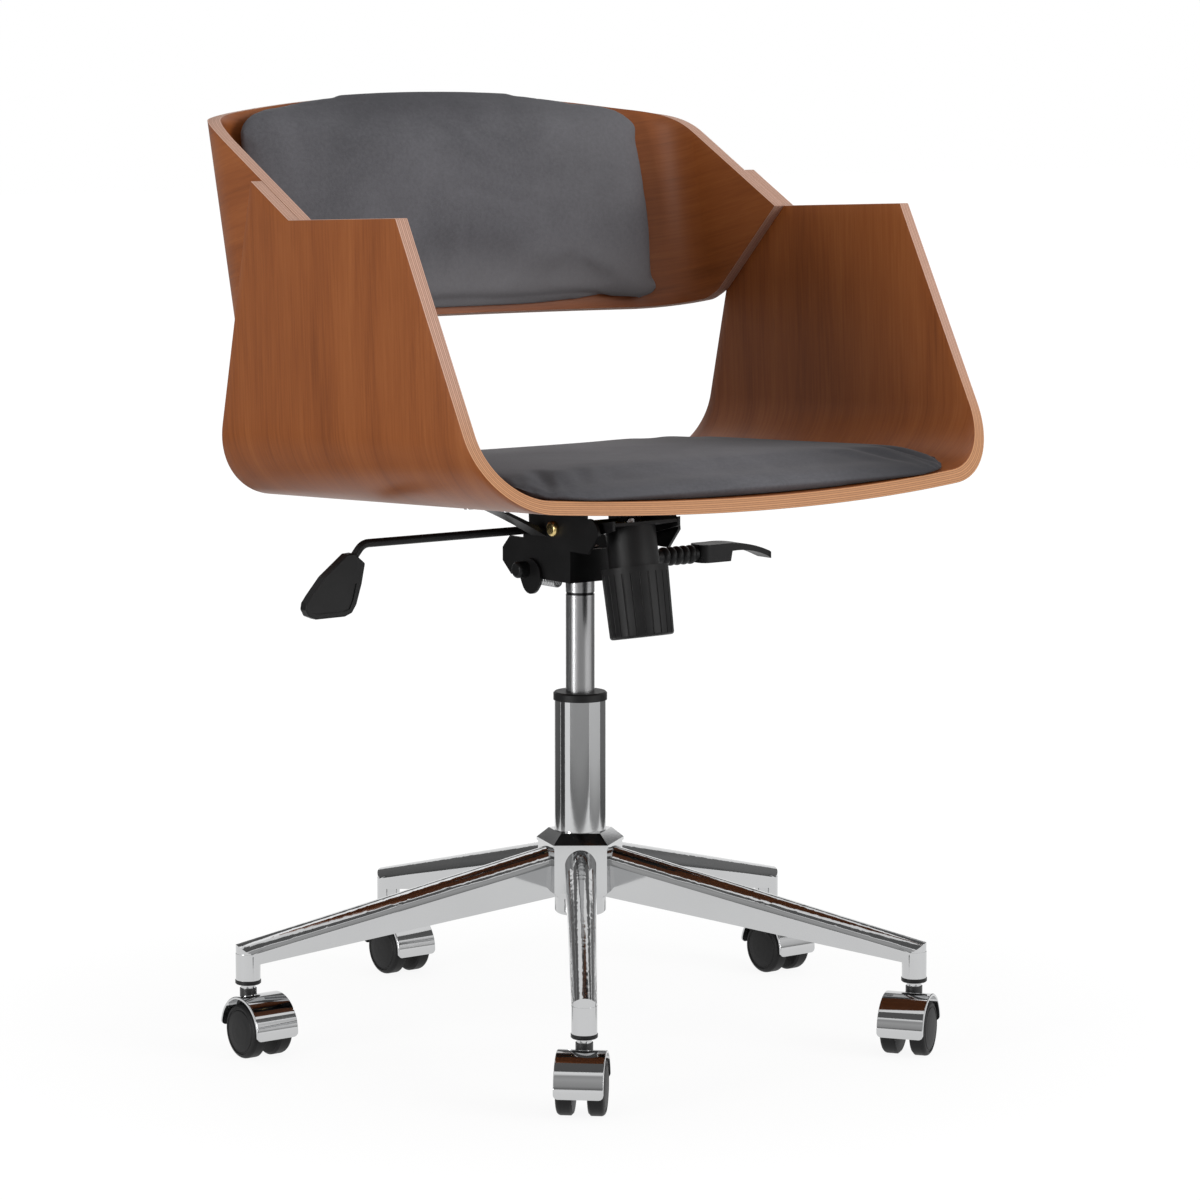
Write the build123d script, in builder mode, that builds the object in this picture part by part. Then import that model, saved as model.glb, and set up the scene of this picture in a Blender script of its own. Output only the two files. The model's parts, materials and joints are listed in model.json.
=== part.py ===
from build123d import *
from math import acos, asin, atan2, cos, degrees, hypot, pi, radians, sin, sqrt, tan
import os

# Office chair with a bent plywood shell, a gas lift and a five-leg base on twin-wheel casters.
# Frame: +Z up, the sitter faces -Y, the origin is on the swivel axis at floor level. Millimetres.

os.makedirs("parts", exist_ok=True)

# Clearances
SEATED = 0.02  # radial gap of pieces that are fixed to each other
RUNNING = 0.05  # radial gap of pieces that turn or slide on each other
AIR = 0.3  # gap between bodies that only pass each other
LAID = 0.3  # gap under an upholstered pad

# Casters
WHEEL_D = 52.0
WHEEL_W = 15.0
WHEEL_GAP = 14.0  # between the inner faces of the two wheels
WEB_W = 13.4
TRAIL = 19.0  # from the swivel axis to the axle
HOOD_R = 33.0
HOOD_WALL = 2.5
HOOD_W = 45.0
HOOD_FRONT_DEG = -8.5  # lower edge of the hood at the front, below the axle
HOOD_REAR_DEG = 178.0
HOOD_CORNER = 4.5
HOOD_ROUND = 0.8
AXLE_D = 6.0
AXLE_L = 38.0
BOSS_D = 16.0
BOSS_TOP = 62.0
STEM_D = 11.0
SPIGOT_D = 7.0
SPIGOT_BOTTOM = 36.0
COLLAR_D = 14.0
COLLAR_T = 3.5
CASTER_HEADINGS = (-90.0, -90.0, -133.0, -146.0, -90.0)  # where each hood points, per leg

# Star base
LEG_COUNT = 5
LEG_START_DEG = 90.0
SOCKET_RADIUS = 332.0  # from the swivel axis to each caster
SOCKET_D = 23.5
SOCKET_BOTTOM = 70.0
SLEEVE_D = 16.0
SLEEVE_RIM_T = 4.0
SLEEVE_DEPTH = 26.0
LEG_ROOT_R = 24.0
LEG_ROOT_W = 31.0
LEG_ROOT_TOP = 183.0
LEG_ROOT_BOTTOM = 133.0
LEG_TIP_W = 23.5
LEG_TIP_TOP = 107.0
LEG_TIP_BOTTOM = 84.0
LEG_WALL = 3.5
LEG_CROWN = 1.1  # height of a leg's crown per half width
HUB_BOTTOM = 131.0
HUB_BEVEL = 7.0
HUB_RIM_Z = 185.0
HUB_RIM_T = 3.0
HUB_RIM_R = 44.5  # corner radius of the five-sided rim
HUB_WALL_R = 43.0  # corner radius below the rim
HUB_CAP_R = 32.0
HUB_FOOT_R = 33.0
HUB_TOP = 195.0

# Column and gas spring
TUBE_D = 50.0
TUBE_WALL = 1.6
TUBE_BOTTOM = 113.0
TUBE_TOP = 322.0
TUBE_FLOOR_T = 4.0
COLLAR_RIM_D = 52.0
COLLAR_RIM_T = 8.0
COLLAR_DEPTH = 60.0
CYLINDER_D = 28.0
CYLINDER_BORE = 23.0
CYLINDER_BOTTOM = 238.0
CYLINDER_GUIDE = 12.0
CYLINDER_CAP_Z = 372.0  # inner end of the gas chamber
TAPER_TOP_D = 26.2
LIFT_TRAVEL = 95.0
PISTON_ROD_D = 10.0
PISTON_T = 12.0
BEARING_D = 34.0
BEARING_T = 7.0
SHOULDER_D = 18.0
SHOULDER_T = 3.0
CLIP_D = 17.0
CLIP_T = 2.0
VALVE_D = 8.0
VALVE_STROKE = 5.0
GROOVE_DROP = 14.5  # from the housing down to the groove round the cylinder
GROOVE_W = 2.2
GROOVE_DEPTH = 0.7

# Tilt mechanism
PLATE = 3.0  # steel sheet
HOUSING_BOTTOM = 441.0
HOUSING_HALF = 40.0  # outside of the side walls
HOUSING_REAR = 72.0
HOUSING_FRONT = -38.0
HOUSING_RIM = HOUSING_BOTTOM + 37.0
CYLINDER_TOP = HOUSING_BOTTOM + 33.0
SOCKET_TUBE_D = 36.0
PIVOT_Y = -25.0
PIVOT_Z = HOUSING_BOTTOM + 52.0
PIVOT_D = 10.0
PIVOT_HEAD_D = 15.0
PIVOT_HEAD_T = 5.0
BRACKET_HALF = 46.0  # inside of the seat plate's side flanges
LEVER_D = 8.0
LEVER_Y = 28.0
LEVER_Z = HOUSING_BOTTOM + 45.5
LEVER_REACH = -232.0  # where the rod turns down
LEVER_BEND_R = 14.0
LEVER_DROP_DEG = 50.0
GRIP_DROP = 30.0  # length of rod below the turn
GRIP_T = 11.0
GRIP_W = 66.5
GRIP_H = 59.0
GRIP_CORNER = 2.5
GRIP_RECESS = 1.2
LOCK_Y = 30.0
LOCK_D = 8.0
LOCK_Z = HOUSING_BOTTOM + PLATE + LOCK_D / 2 + AIR
LOCK_SLEEVE_D = 19.0
LOCK_SLEEVE_X = 98.0
LOCK_SLEEVE_L = 66.0
LOCK_RIBS = 5
LOCK_PADDLE_L = 91.0
LOCK_PADDLE_W = 26.0
LOCK_EAR_T = 3.0
LOCK_CAP_D = 16.0
LOCK_CAP_L = 12.0

# Tension spring and its knob, on an axis that leans forward
TENSION_LEAN = 10.5
TENSION_Y = -77.0
TENSION_Z = HOUSING_BOTTOM + 67.0
TENSION_BOLT_D = 10.0
EYE_PIN_D = 6.0
EYE_SLACK = 0.5
EYE_SWAY = 3.2  # how far the cross pin wanders along the bolt's slot
EYE_T = 8.0
TONGUE_AT = 9.0
CUP_D = 48.0
CUP_L = 46.0
CUP_WALL = 2.5
KNOB_D = 64.0
KNOB_TIP_D = 61.0
KNOB_AT = 50.0
KNOB_L = 67.0
KNOB_BORE_D = 53.0
KNOB_FLOOR = 20.0
KNOB_FLUTES = 24
KNOB_FLUTE_R = 0.9
TENSION_SPRING_D = 38.0
TENSION_SPRING_WIRE = 6.0

# Return spring of the lock
RETURN_D = 11.0  # coil diameter at the wire's centre line
RETURN_WIRE = 1.6
RETURN_PITCH = 2.6
RETURN_TURNS = 16
RETURN_X = -8.0
RETURN_Y = 24.0

# Seat: sizes below are in the seat's own frame, with its origin on the tilt pivot
RAKE = 2.45  # front edge up at rest
PLY = 12.5
ARM_HALF = 300.0  # outside of the arms
BEND_R = 71.0
DISH_R = 3000.0
PAN_Z = 27.0  # underside of the pan on the centre line
ARM_TOP = 298.0
EDGE_Z = 36.0  # height at which the front edge's run is given
FRONT_Y = -268.5  # front edge on the centre line
FRONT_SIDE_Y = -248.0  # front edge at the arms
FRONT_SLOPE = 0.5  # backward run per unit of height
REAR_SLOPE = 0.28  # backward run per unit of drop
HORN_FOOT_Y = 57.5
HORN_TIP_Y = 120.0
HORN_TIP_Z = 335.0

# Back band, a bent strip that leans back
BAND_LEAN = 11.15
BAND_Y = 153.5
BAND_Z = 214.6
BAND_BEND_R = 80.0
BAND_BACK_R = 1500.0
BAND_TOP_Z = 417.5
BAND_TOP_ARCH_R = 1610.0
BAND_BOTTOM_ARCH_R = 5300.0
BAND_BOTTOM_RISE = 1.0
BAND_HEEL = 3.0  # from the lean axis to the lower corner of the ends
BAND_HEEL_RUN = 18.0  # over which the corner eases into the lower edge
BAND_HEEL_DROP = 10.7
GLUE = 0.05

# Upholstery
SEAT_PAD_T = 31.0
SEAT_PAD_HALF = 252.0
SEAT_PAD_FRONT = -263.0
SEAT_PAD_REAR = 194.0
SEAT_PAD_CORNER = 60.0
BACK_PAD_T = 40.0
BACK_PAD_HALF = 244.0
BACK_PAD_TOP = 226.0  # along the lean, from the band's lower edge
BACK_PAD_BOTTOM = 4.5

# Fixings of the shell
SCREW_D = 6.0
SCREW_HEAD_D = 12.0
SCREW_HEAD_T = 3.5
SCREW_INSET = 20.0  # from the strap's edges
SCREW_DEPTH = 9.0
DOWEL_D = 8.0
DOWEL_L = 18.0
STRAP_HALF = 150.0
STRAP_FRONT = -58.0
STRAP_REAR = 38.0
OUTRIGGER_GAP = 13.0  # from the pivot axis to the straps on both sides
FLANGE_DROP = 22.0  # below the pivot axis
FLANGE_NOSE = 11.0  # in front of the strap
SCREW_X = STRAP_HALF - SCREW_INSET
SCREW_Y = (STRAP_FRONT + SCREW_INSET, STRAP_REAR - SCREW_INSET * 0.8)

# Derived heights of the casters
WHEEL_R = WHEEL_D / 2
SLEEVE_FOOT = SOCKET_BOTTOM - SLEEVE_RIM_T
STEM_TOP = SOCKET_BOTTOM + SLEEVE_DEPTH - 2


def on(frame, plane):
    """Return a plane carried along by a frame."""
    return Plane(frame * plane.location)


def caster_frame(index):
    """Return the frame of one caster: origin under its swivel axis, +X where its hood points."""
    angle = radians(LEG_START_DEG + index * 360 / LEG_COUNT)
    spot = (SOCKET_RADIUS * cos(angle), SOCKET_RADIUS * sin(angle), 0)
    return Location(spot, (0, 0, CASTER_HEADINGS[index]))


def mirrored(point):
    """Return a section point on the other side of the centre line."""
    return (-point[0], point[1])


def polar(radius, angle):
    """Return the point at a radius and an angle in degrees."""
    return (radius * cos(radians(angle)), radius * sin(radians(angle)))


def make_wheel(frame, side):
    """Build one caster wheel as a revolved disc with a rounded tread and a blind axle bore."""
    inner = WHEEL_GAP / 2
    outer = inner + WHEEL_W
    bore = AXLE_D / 2 + RUNNING
    bore_end = AXLE_L / 2 + AIR
    rim = WHEEL_R * 0.82
    with BuildPart() as wheel:
        with BuildSketch(on(frame, Plane((TRAIL, 0, WHEEL_R), x_dir=(0, side, 0), z_dir=(1, 0, 0)))):
            with BuildLine():
                Polyline((inner, bore), (inner, WHEEL_R - 2), (inner + 2, WHEEL_R))
                Line((inner + 2, WHEEL_R), (outer - 4, WHEEL_R))
                ThreePointArc((outer - 4, WHEEL_R), (outer - 1.2, WHEEL_R - 1.2), (outer, WHEEL_R - 4))
                Polyline((outer, WHEEL_R - 4), (outer - 0.8, rim), (outer - 0.8, rim - 1), (outer, rim - 2))
                Polyline((outer, rim - 2), (outer + 0.7, rim * 0.6), (outer + 1, AXLE_D), (outer + 1, 0))
                Polyline((outer + 1, 0), (bore_end, 0), (bore_end, bore), (inner, bore))
            make_face()
        axle_line = Axis(*axle_ray(frame))
        revolve(axis=axle_line)
    return wheel


def axle_ray(frame):
    """Return the axle's centre point and direction for one caster frame."""
    plane = on(frame, Plane((TRAIL, 0, WHEEL_R), x_dir=(1, 0, 0), z_dir=(0, 1, 0)))
    return plane.origin, plane.z_dir


def make_hood(frame):
    """Build one caster hood: the curved cover, the web between the wheels and the stem boss."""
    side = on(frame, Plane((TRAIL, 0, WHEEL_R), x_dir=(1, 0, 0), z_dir=(0, -1, 0)))
    inner = HOOD_R - HOOD_WALL
    middle = (HOOD_FRONT_DEG + HOOD_REAR_DEG) / 2
    with BuildPart() as hood:
        with BuildSketch(side):
            with BuildLine():
                ThreePointArc(polar(HOOD_R, HOOD_FRONT_DEG), polar(HOOD_R, middle), polar(HOOD_R, HOOD_REAR_DEG))
                Line(polar(HOOD_R, HOOD_REAR_DEG), polar(inner, HOOD_REAR_DEG))
                ThreePointArc(polar(inner, HOOD_REAR_DEG), polar(inner, middle), polar(inner, HOOD_FRONT_DEG))
                Line(polar(inner, HOOD_FRONT_DEG), polar(HOOD_R, HOOD_FRONT_DEG))
            make_face()
        extrude(amount=HOOD_W / 2, both=True)
        corners = hood.edges().filter_by(lambda edge: abs(edge.length - HOOD_WALL) < 0.01)
        fillet(corners, HOOD_CORNER)
        outside = hood.faces().filter_by(GeomType.CYLINDER).sort_by(SortBy.AREA)[-1]
        fillet(outside.edges(), HOOD_ROUND)
        with BuildSketch(side):
            with BuildLine():
                reach = HOOD_R - HOOD_WALL / 2
                ThreePointArc(polar(reach, HOOD_FRONT_DEG), polar(reach, middle), polar(reach, HOOD_REAR_DEG))
                Polyline(polar(reach, HOOD_REAR_DEG), (-AXLE_D, -AXLE_D), (AXLE_D, -AXLE_D))
                Line((AXLE_D, -AXLE_D), polar(reach, HOOD_FRONT_DEG))
            make_face()
        extrude(amount=WEB_W / 2, both=True)
        boss_foot = WHEEL_R + sqrt((WHEEL_R + 2) ** 2 - (TRAIL - BOSS_D / 2) ** 2)
        with BuildSketch(on(frame, Plane.XY.offset(boss_foot))):
            Circle(BOSS_D / 2)
        extrude(amount=BOSS_TOP - boss_foot)
        with BuildSketch(on(frame, Plane.XY.offset(SPIGOT_BOTTOM))):
            Circle(SPIGOT_D / 2 + SEATED)
        extrude(amount=BOSS_TOP - SPIGOT_BOTTOM, mode=Mode.SUBTRACT)
        with BuildSketch(side):
            Circle(AXLE_D / 2 + SEATED)
        extrude(amount=WEB_W, both=True, mode=Mode.SUBTRACT)
    return hood


def make_stem(frame):
    """Build one caster stem: spigot in the hood, thrust collar and the pin in the leg's socket."""
    with BuildPart() as stem:
        with BuildSketch(on(frame, Plane.XY.offset(SPIGOT_BOTTOM + AIR))):
            Circle(SPIGOT_D / 2)
        extrude(amount=BOSS_TOP - SPIGOT_BOTTOM)
        with BuildSketch(on(frame, Plane.XY.offset(BOSS_TOP))):
            Circle(COLLAR_D / 2)
        extrude(amount=COLLAR_T)
        with BuildSketch(on(frame, Plane.XY.offset(BOSS_TOP + COLLAR_T))):
            Circle(STEM_D / 2)
        extrude(amount=STEM_TOP - BOSS_TOP - COLLAR_T)
        chamfer(stem.edges().group_by(Axis.Z)[-1], 1.5)
    return stem


for index in range(LEG_COUNT):
    spot = caster_frame(index)
    name = f"caster_{index + 1}"

    hood = make_hood(spot)
    hood.part.label = f"{name}_hood"
    export_step(hood.part, f"parts/{name}_hood.step")

    stem = make_stem(spot)
    stem.part.label = f"{name}_stem"
    export_step(stem.part, f"parts/{name}_stem.step")

    with BuildPart() as axle:
        centre, direction = axle_ray(spot)
        with BuildSketch(Plane(centre, z_dir=direction)):
            Circle(AXLE_D / 2)
        extrude(amount=AXLE_L / 2, both=True)
    axle.part.label = f"{name}_axle"
    export_step(axle.part, f"parts/{name}_axle.step")

    for letter, side in (("a", 1), ("b", -1)):
        wheel = make_wheel(spot, side)
        wheel.part.label = f"{name}_wheel_{letter}"
        export_step(wheel.part, f"parts/{name}_wheel_{letter}.step")

    # Plastic sleeve that lines the leg's socket and takes the stem's thrust collar
    with BuildPart() as sleeve:
        with BuildSketch(on(spot, Plane.XY.offset(SLEEVE_FOOT))):
            Circle(SOCKET_D / 2 + 0.5)
        extrude(amount=SLEEVE_RIM_T)
        with BuildSketch(on(spot, Plane.XY.offset(SOCKET_BOTTOM))):
            Circle(SLEEVE_D / 2)
        extrude(amount=SLEEVE_DEPTH)
        with BuildSketch(on(spot, Plane.XY.offset(SLEEVE_FOOT))):
            Circle(STEM_D / 2 + RUNNING)
        extrude(amount=SLEEVE_RIM_T + SLEEVE_DEPTH - 1, mode=Mode.SUBTRACT)
        chamfer(sleeve.edges().group_by(Axis.Z)[0].sort_by(SortBy.RADIUS)[-1], 1.0)
    sleeve.part.label = f"{name}_sleeve"
    export_step(sleeve.part, f"parts/{name}_sleeve.step")


def leg_section(width, bottom, top):
    """Draw the outline of a leg section: flat foot, drawn-in sides and a tall round crown."""
    half = width / 2
    crown = half * LEG_CROWN
    shoulder = (half, top - crown)
    foot = (half * 0.8, bottom)
    Polyline(mirrored(shoulder), mirrored(foot), foot, shoulder)
    EllipticalCenterArc((0, top - crown), half, crown, start_angle=0, arc_size=180)


def leg_core(width, bottom, top):
    """Draw the outline of a leg section's hollow, open at its foot."""
    half = width / 2 - LEG_WALL
    crown = width / 2 * LEG_CROWN
    shoulder = (half, top - crown)
    foot = (half * 0.75, bottom - 1)
    Polyline(mirrored(shoulder), mirrored(foot), foot, shoulder)
    EllipticalCenterArc((0, top - crown), half, crown - LEG_WALL, start_angle=0, arc_size=180)


LEG_END_R = SOCKET_RADIUS + SOCKET_D
leg_share = (LEG_END_R - LEG_ROOT_R) / (SOCKET_RADIUS - LEG_ROOT_R)
LEG_END_TOP = LEG_ROOT_TOP + (LEG_TIP_TOP - LEG_ROOT_TOP) * leg_share
LEG_END_BOTTOM = LEG_ROOT_BOTTOM + (LEG_TIP_BOTTOM - LEG_ROOT_BOTTOM) * leg_share
LEG_END_W = LEG_ROOT_W + (LEG_TIP_W - LEG_ROOT_W) * leg_share
core_end = SOCKET_RADIUS - SOCKET_D

# One leg along +X, with the elbow that turns down into the caster socket
with BuildPart() as leg:
    with BuildSketch(Plane.YZ.offset(LEG_ROOT_R)):
        with BuildLine():
            leg_section(LEG_ROOT_W, LEG_ROOT_BOTTOM, LEG_ROOT_TOP)
        make_face()
    with BuildSketch(Plane.YZ.offset(LEG_END_R)):
        with BuildLine():
            leg_section(LEG_END_W, LEG_END_BOTTOM, LEG_END_TOP)
        make_face()
    loft(ruled=True)
    core_share = (core_end - LEG_ROOT_R) / (SOCKET_RADIUS - LEG_ROOT_R)
    core_w = LEG_ROOT_W + (LEG_TIP_W - LEG_ROOT_W) * core_share
    core_bottom = LEG_ROOT_BOTTOM + (LEG_TIP_BOTTOM - LEG_ROOT_BOTTOM) * core_share
    core_top = LEG_ROOT_TOP + (LEG_TIP_TOP - LEG_ROOT_TOP) * core_share
    with BuildSketch(Plane.YZ.offset(LEG_ROOT_R)):
        with BuildLine():
            leg_core(LEG_ROOT_W, LEG_ROOT_BOTTOM, LEG_ROOT_TOP)
        make_face()
    with BuildSketch(Plane.YZ.offset(core_end)):
        with BuildLine():
            leg_core(core_w, core_bottom, core_top)
        make_face()
    loft(ruled=True, mode=Mode.SUBTRACT)
    with BuildSketch(Plane.XY.offset(SOCKET_BOTTOM)):
        with Locations((SOCKET_RADIUS + SOCKET_D, 0)):
            Rectangle(2 * SOCKET_D, 3 * SOCKET_D)
        with Locations((SOCKET_RADIUS, 0)):
            Circle(SOCKET_D / 2 - AIR, mode=Mode.SUBTRACT)
    extrude(amount=LEG_ROOT_TOP, mode=Mode.SUBTRACT)
    with BuildSketch(Plane.XY.offset(SOCKET_BOTTOM)):
        with Locations((SOCKET_RADIUS, 0)):
            Circle(SOCKET_D / 2)
    extrude(amount=(LEG_TIP_BOTTOM + LEG_TIP_TOP) / 2 - SOCKET_BOTTOM)

with BuildPart() as base_star:
    facet_turn = LEG_START_DEG + 180 / LEG_COUNT
    with BuildSketch(Plane.XY.offset(HUB_BOTTOM)):
        RegularPolygon(HUB_FOOT_R, LEG_COUNT, rotation=facet_turn)
    with BuildSketch(Plane.XY.offset(HUB_BOTTOM + HUB_BEVEL)):
        RegularPolygon(HUB_WALL_R, LEG_COUNT, rotation=facet_turn)
    loft(ruled=True)
    with BuildSketch(Plane.XY.offset(HUB_BOTTOM + HUB_BEVEL)):
        RegularPolygon(HUB_WALL_R, LEG_COUNT, rotation=facet_turn)
    extrude(amount=HUB_RIM_Z - HUB_BOTTOM - HUB_BEVEL)
    with BuildSketch(Plane.XY.offset(HUB_RIM_Z - HUB_RIM_T)):
        RegularPolygon(HUB_RIM_R, LEG_COUNT, rotation=facet_turn)
    extrude(amount=HUB_RIM_T)
    with BuildSketch(Plane.XY.offset(HUB_RIM_Z)):
        RegularPolygon(HUB_RIM_R, LEG_COUNT, rotation=facet_turn)
    with BuildSketch(Plane.XY.offset(HUB_TOP)):
        RegularPolygon(HUB_CAP_R, LEG_COUNT, rotation=facet_turn)
    loft(ruled=True)
    with PolarLocations(0, LEG_COUNT, start_angle=LEG_START_DEG):
        add(leg.part)
    with BuildSketch(Plane.XY.offset(HUB_BOTTOM - 1)):
        Circle(TUBE_D / 2 + SEATED)
    extrude(amount=HUB_TOP - HUB_BOTTOM + 2, mode=Mode.SUBTRACT)
    with BuildSketch(Plane.XY.offset(SOCKET_BOTTOM)):
        with PolarLocations(SOCKET_RADIUS, LEG_COUNT, start_angle=LEG_START_DEG):
            Circle(SLEEVE_D / 2 + SEATED)
    extrude(amount=SLEEVE_DEPTH + AIR, mode=Mode.SUBTRACT)
base_star.part.label = "base_star"
export_step(base_star.part, "parts/base_star.step")

# Column tube with its turned-in floor
with BuildPart() as column_tube:
    with BuildSketch(Plane.XY.offset(TUBE_BOTTOM)):
        Circle(TUBE_D / 2)
    extrude(amount=TUBE_TOP - TUBE_BOTTOM)
    fillet(column_tube.edges().group_by(Axis.Z)[0], TUBE_FLOOR_T)
    with BuildSketch(Plane.XY.offset(TUBE_BOTTOM + TUBE_FLOOR_T)):
        Circle(TUBE_D / 2 - TUBE_WALL)
    extrude(amount=TUBE_TOP - TUBE_BOTTOM, mode=Mode.SUBTRACT)
    with BuildSketch(Plane.XY.offset(TUBE_BOTTOM)):
        Circle(PISTON_ROD_D / 2 + AIR)
    extrude(amount=TUBE_FLOOR_T, mode=Mode.SUBTRACT)
column_tube.part.label = "column_tube"
export_step(column_tube.part, "parts/column_tube.step")

# Guide bush in the mouth of the tube
with BuildPart() as column_collar:
    with BuildSketch(Plane.XY.offset(TUBE_TOP - COLLAR_DEPTH)):
        Circle(TUBE_D / 2 - TUBE_WALL - SEATED)
    extrude(amount=COLLAR_DEPTH)
    with BuildSketch(Plane.XY.offset(TUBE_TOP)):
        Circle(COLLAR_RIM_D / 2)
    extrude(amount=COLLAR_RIM_T)
    chamfer(column_collar.edges().group_by(Axis.Z)[-1], 1.5)
    with BuildSketch(Plane.XY.offset(TUBE_TOP - COLLAR_DEPTH)):
        Circle(CYLINDER_D / 2 + RUNNING)
    extrude(amount=COLLAR_DEPTH + COLLAR_RIM_T, mode=Mode.SUBTRACT)
column_collar.part.label = "column_collar"
export_step(column_collar.part, "parts/column_collar.step")

# Thrust bearing on the tube's floor
BEARING_Z = TUBE_BOTTOM + TUBE_FLOOR_T
with BuildPart() as thrust_bearing:
    with BuildSketch(Plane.XY.offset(BEARING_Z)):
        Circle(BEARING_D / 2)
        Circle(PISTON_ROD_D / 2 + RUNNING, mode=Mode.SUBTRACT)
    extrude(amount=BEARING_T)
thrust_bearing.part.label = "thrust_bearing"
export_step(thrust_bearing.part, "parts/thrust_bearing.step")

# Piston rod: it stands on the bearing and turns with the seat
CHAMBER_Z = CYLINDER_BOTTOM + CYLINDER_GUIDE
SHOULDER_Z = BEARING_Z + BEARING_T + AIR
CLIP_Z = TUBE_BOTTOM - AIR - CLIP_T
with BuildPart() as piston_rod:
    with BuildSketch(Plane.XY.offset(CLIP_Z - CLIP_T)):
        Circle(PISTON_ROD_D / 2)
    extrude(amount=CHAMBER_Z - CLIP_Z + CLIP_T + PISTON_T)
    with BuildSketch(Plane.XY.offset(SHOULDER_Z)):
        Circle(SHOULDER_D / 2)
    extrude(amount=SHOULDER_T)
    with BuildSketch(Plane.XY.offset(CHAMBER_Z + AIR)):
        Circle(CYLINDER_BORE / 2 - RUNNING)
    extrude(amount=PISTON_T)
piston_rod.part.label = "piston_rod"
export_step(piston_rod.part, "parts/piston_rod.step")

with BuildPart() as rod_clip:
    with BuildSketch(Plane.XY.offset(CLIP_Z)):
        Circle(CLIP_D / 2)
        Circle(PISTON_ROD_D / 2 + SEATED, mode=Mode.SUBTRACT)
    extrude(amount=CLIP_T)
rod_clip.part.label = "rod_clip"
export_step(rod_clip.part, "parts/rod_clip.step")

# Gas spring cylinder: straight below the housing, tapered in the socket
VALVE_TOP = LEVER_Z - LEVER_D / 2 - AIR
VALVE_SEAT = CYLINDER_TOP - 24.0
with BuildPart() as gas_cylinder:
    with BuildSketch(Plane.XZ):
        groove = HOUSING_BOTTOM - GROOVE_DROP
        with BuildLine():
            Polyline(
                (PISTON_ROD_D / 2 + RUNNING, CYLINDER_BOTTOM),
                (CYLINDER_D / 2 - 1, CYLINDER_BOTTOM),
                (CYLINDER_D / 2, CYLINDER_BOTTOM + 1),
                (CYLINDER_D / 2, groove - GROOVE_W),
                (CYLINDER_D / 2 - GROOVE_DEPTH, groove - GROOVE_W),
                (CYLINDER_D / 2 - GROOVE_DEPTH, groove),
                (CYLINDER_D / 2, groove),
                (CYLINDER_D / 2, HOUSING_BOTTOM),
                (TAPER_TOP_D / 2, CYLINDER_TOP),
                (VALVE_D / 2 + RUNNING, CYLINDER_TOP),
                (VALVE_D / 2 + RUNNING, VALVE_SEAT),
                (0, VALVE_SEAT),
                (0, CYLINDER_CAP_Z),
                (CYLINDER_BORE / 2, CYLINDER_CAP_Z),
                (CYLINDER_BORE / 2, CHAMBER_Z),
                (PISTON_ROD_D / 2 + RUNNING, CHAMBER_Z),
                close=True,
            )
        make_face()
    revolve(axis=Axis.Z)
gas_cylinder.part.label = "gas_cylinder"
export_step(gas_cylinder.part, "parts/gas_cylinder.step")

with BuildPart() as valve_pin:
    with BuildSketch(Plane.XY.offset(VALVE_SEAT + VALVE_STROKE + 1)):
        Circle(VALVE_D / 2)
    extrude(amount=VALVE_TOP - VALVE_SEAT - VALVE_STROKE - 1)
    fillet(valve_pin.edges().group_by(Axis.Z)[-1], 1.5)
valve_pin.part.label = "valve_pin"
export_step(valve_pin.part, "parts/valve_pin.step")

# Conical socket that the cylinder is pressed into
SOCKET_TUBE_TOP = CYLINDER_TOP - 3
with BuildPart() as taper_socket:
    with BuildSketch(Plane.XZ):
        taper = (CYLINDER_D - TAPER_TOP_D) / 2 / (CYLINDER_TOP - HOUSING_BOTTOM)
        with BuildLine():
            Polyline(
                (CYLINDER_D / 2 + SEATED, HOUSING_BOTTOM),
                (SOCKET_TUBE_D / 2, HOUSING_BOTTOM),
                (SOCKET_TUBE_D / 2, SOCKET_TUBE_TOP),
                (CYLINDER_D / 2 + SEATED - taper * (SOCKET_TUBE_TOP - HOUSING_BOTTOM), SOCKET_TUBE_TOP),
                close=True,
            )
        make_face()
    revolve(axis=Axis.Z)
taper_socket.part.label = "taper_socket"
export_step(taper_socket.part, "parts/taper_socket.step")

# Frame of the tension spring: origin on the cross pin, +Z up along the bolt
TENSION = Location((0, TENSION_Y, TENSION_Z), (-TENSION_LEAN, 0, 0))


def along_bolt(distance):
    """Return the plane across the tension bolt at a distance below the cross pin."""
    return on(TENSION, Plane.XY.offset(-distance))


# Pressed housing of the mechanism: bottom, two side walls, front wall and the tongue over the knob
WALL_OUTLINE = (
    (HOUSING_FRONT, HOUSING_BOTTOM),
    (HOUSING_REAR - 14, HOUSING_BOTTOM),
    (HOUSING_REAR, HOUSING_BOTTOM + 12),
    (HOUSING_REAR, HOUSING_RIM - 12),
    (HOUSING_REAR - 12, HOUSING_RIM),
    (PIVOT_Y + 27, HOUSING_RIM),
    (PIVOT_Y + 14, PIVOT_Z + 10),
    (PIVOT_Y - 14, PIVOT_Z + 10),
    (PIVOT_Y - 24, PIVOT_Z + 4),
    (TENSION_Y - 28, PIVOT_Z + 13),
    (TENSION_Y - 28, PIVOT_Z + 4),
    (HOUSING_FRONT - 8, PIVOT_Z - 11),
    (HOUSING_FRONT, HOUSING_RIM - 6),
)
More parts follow.
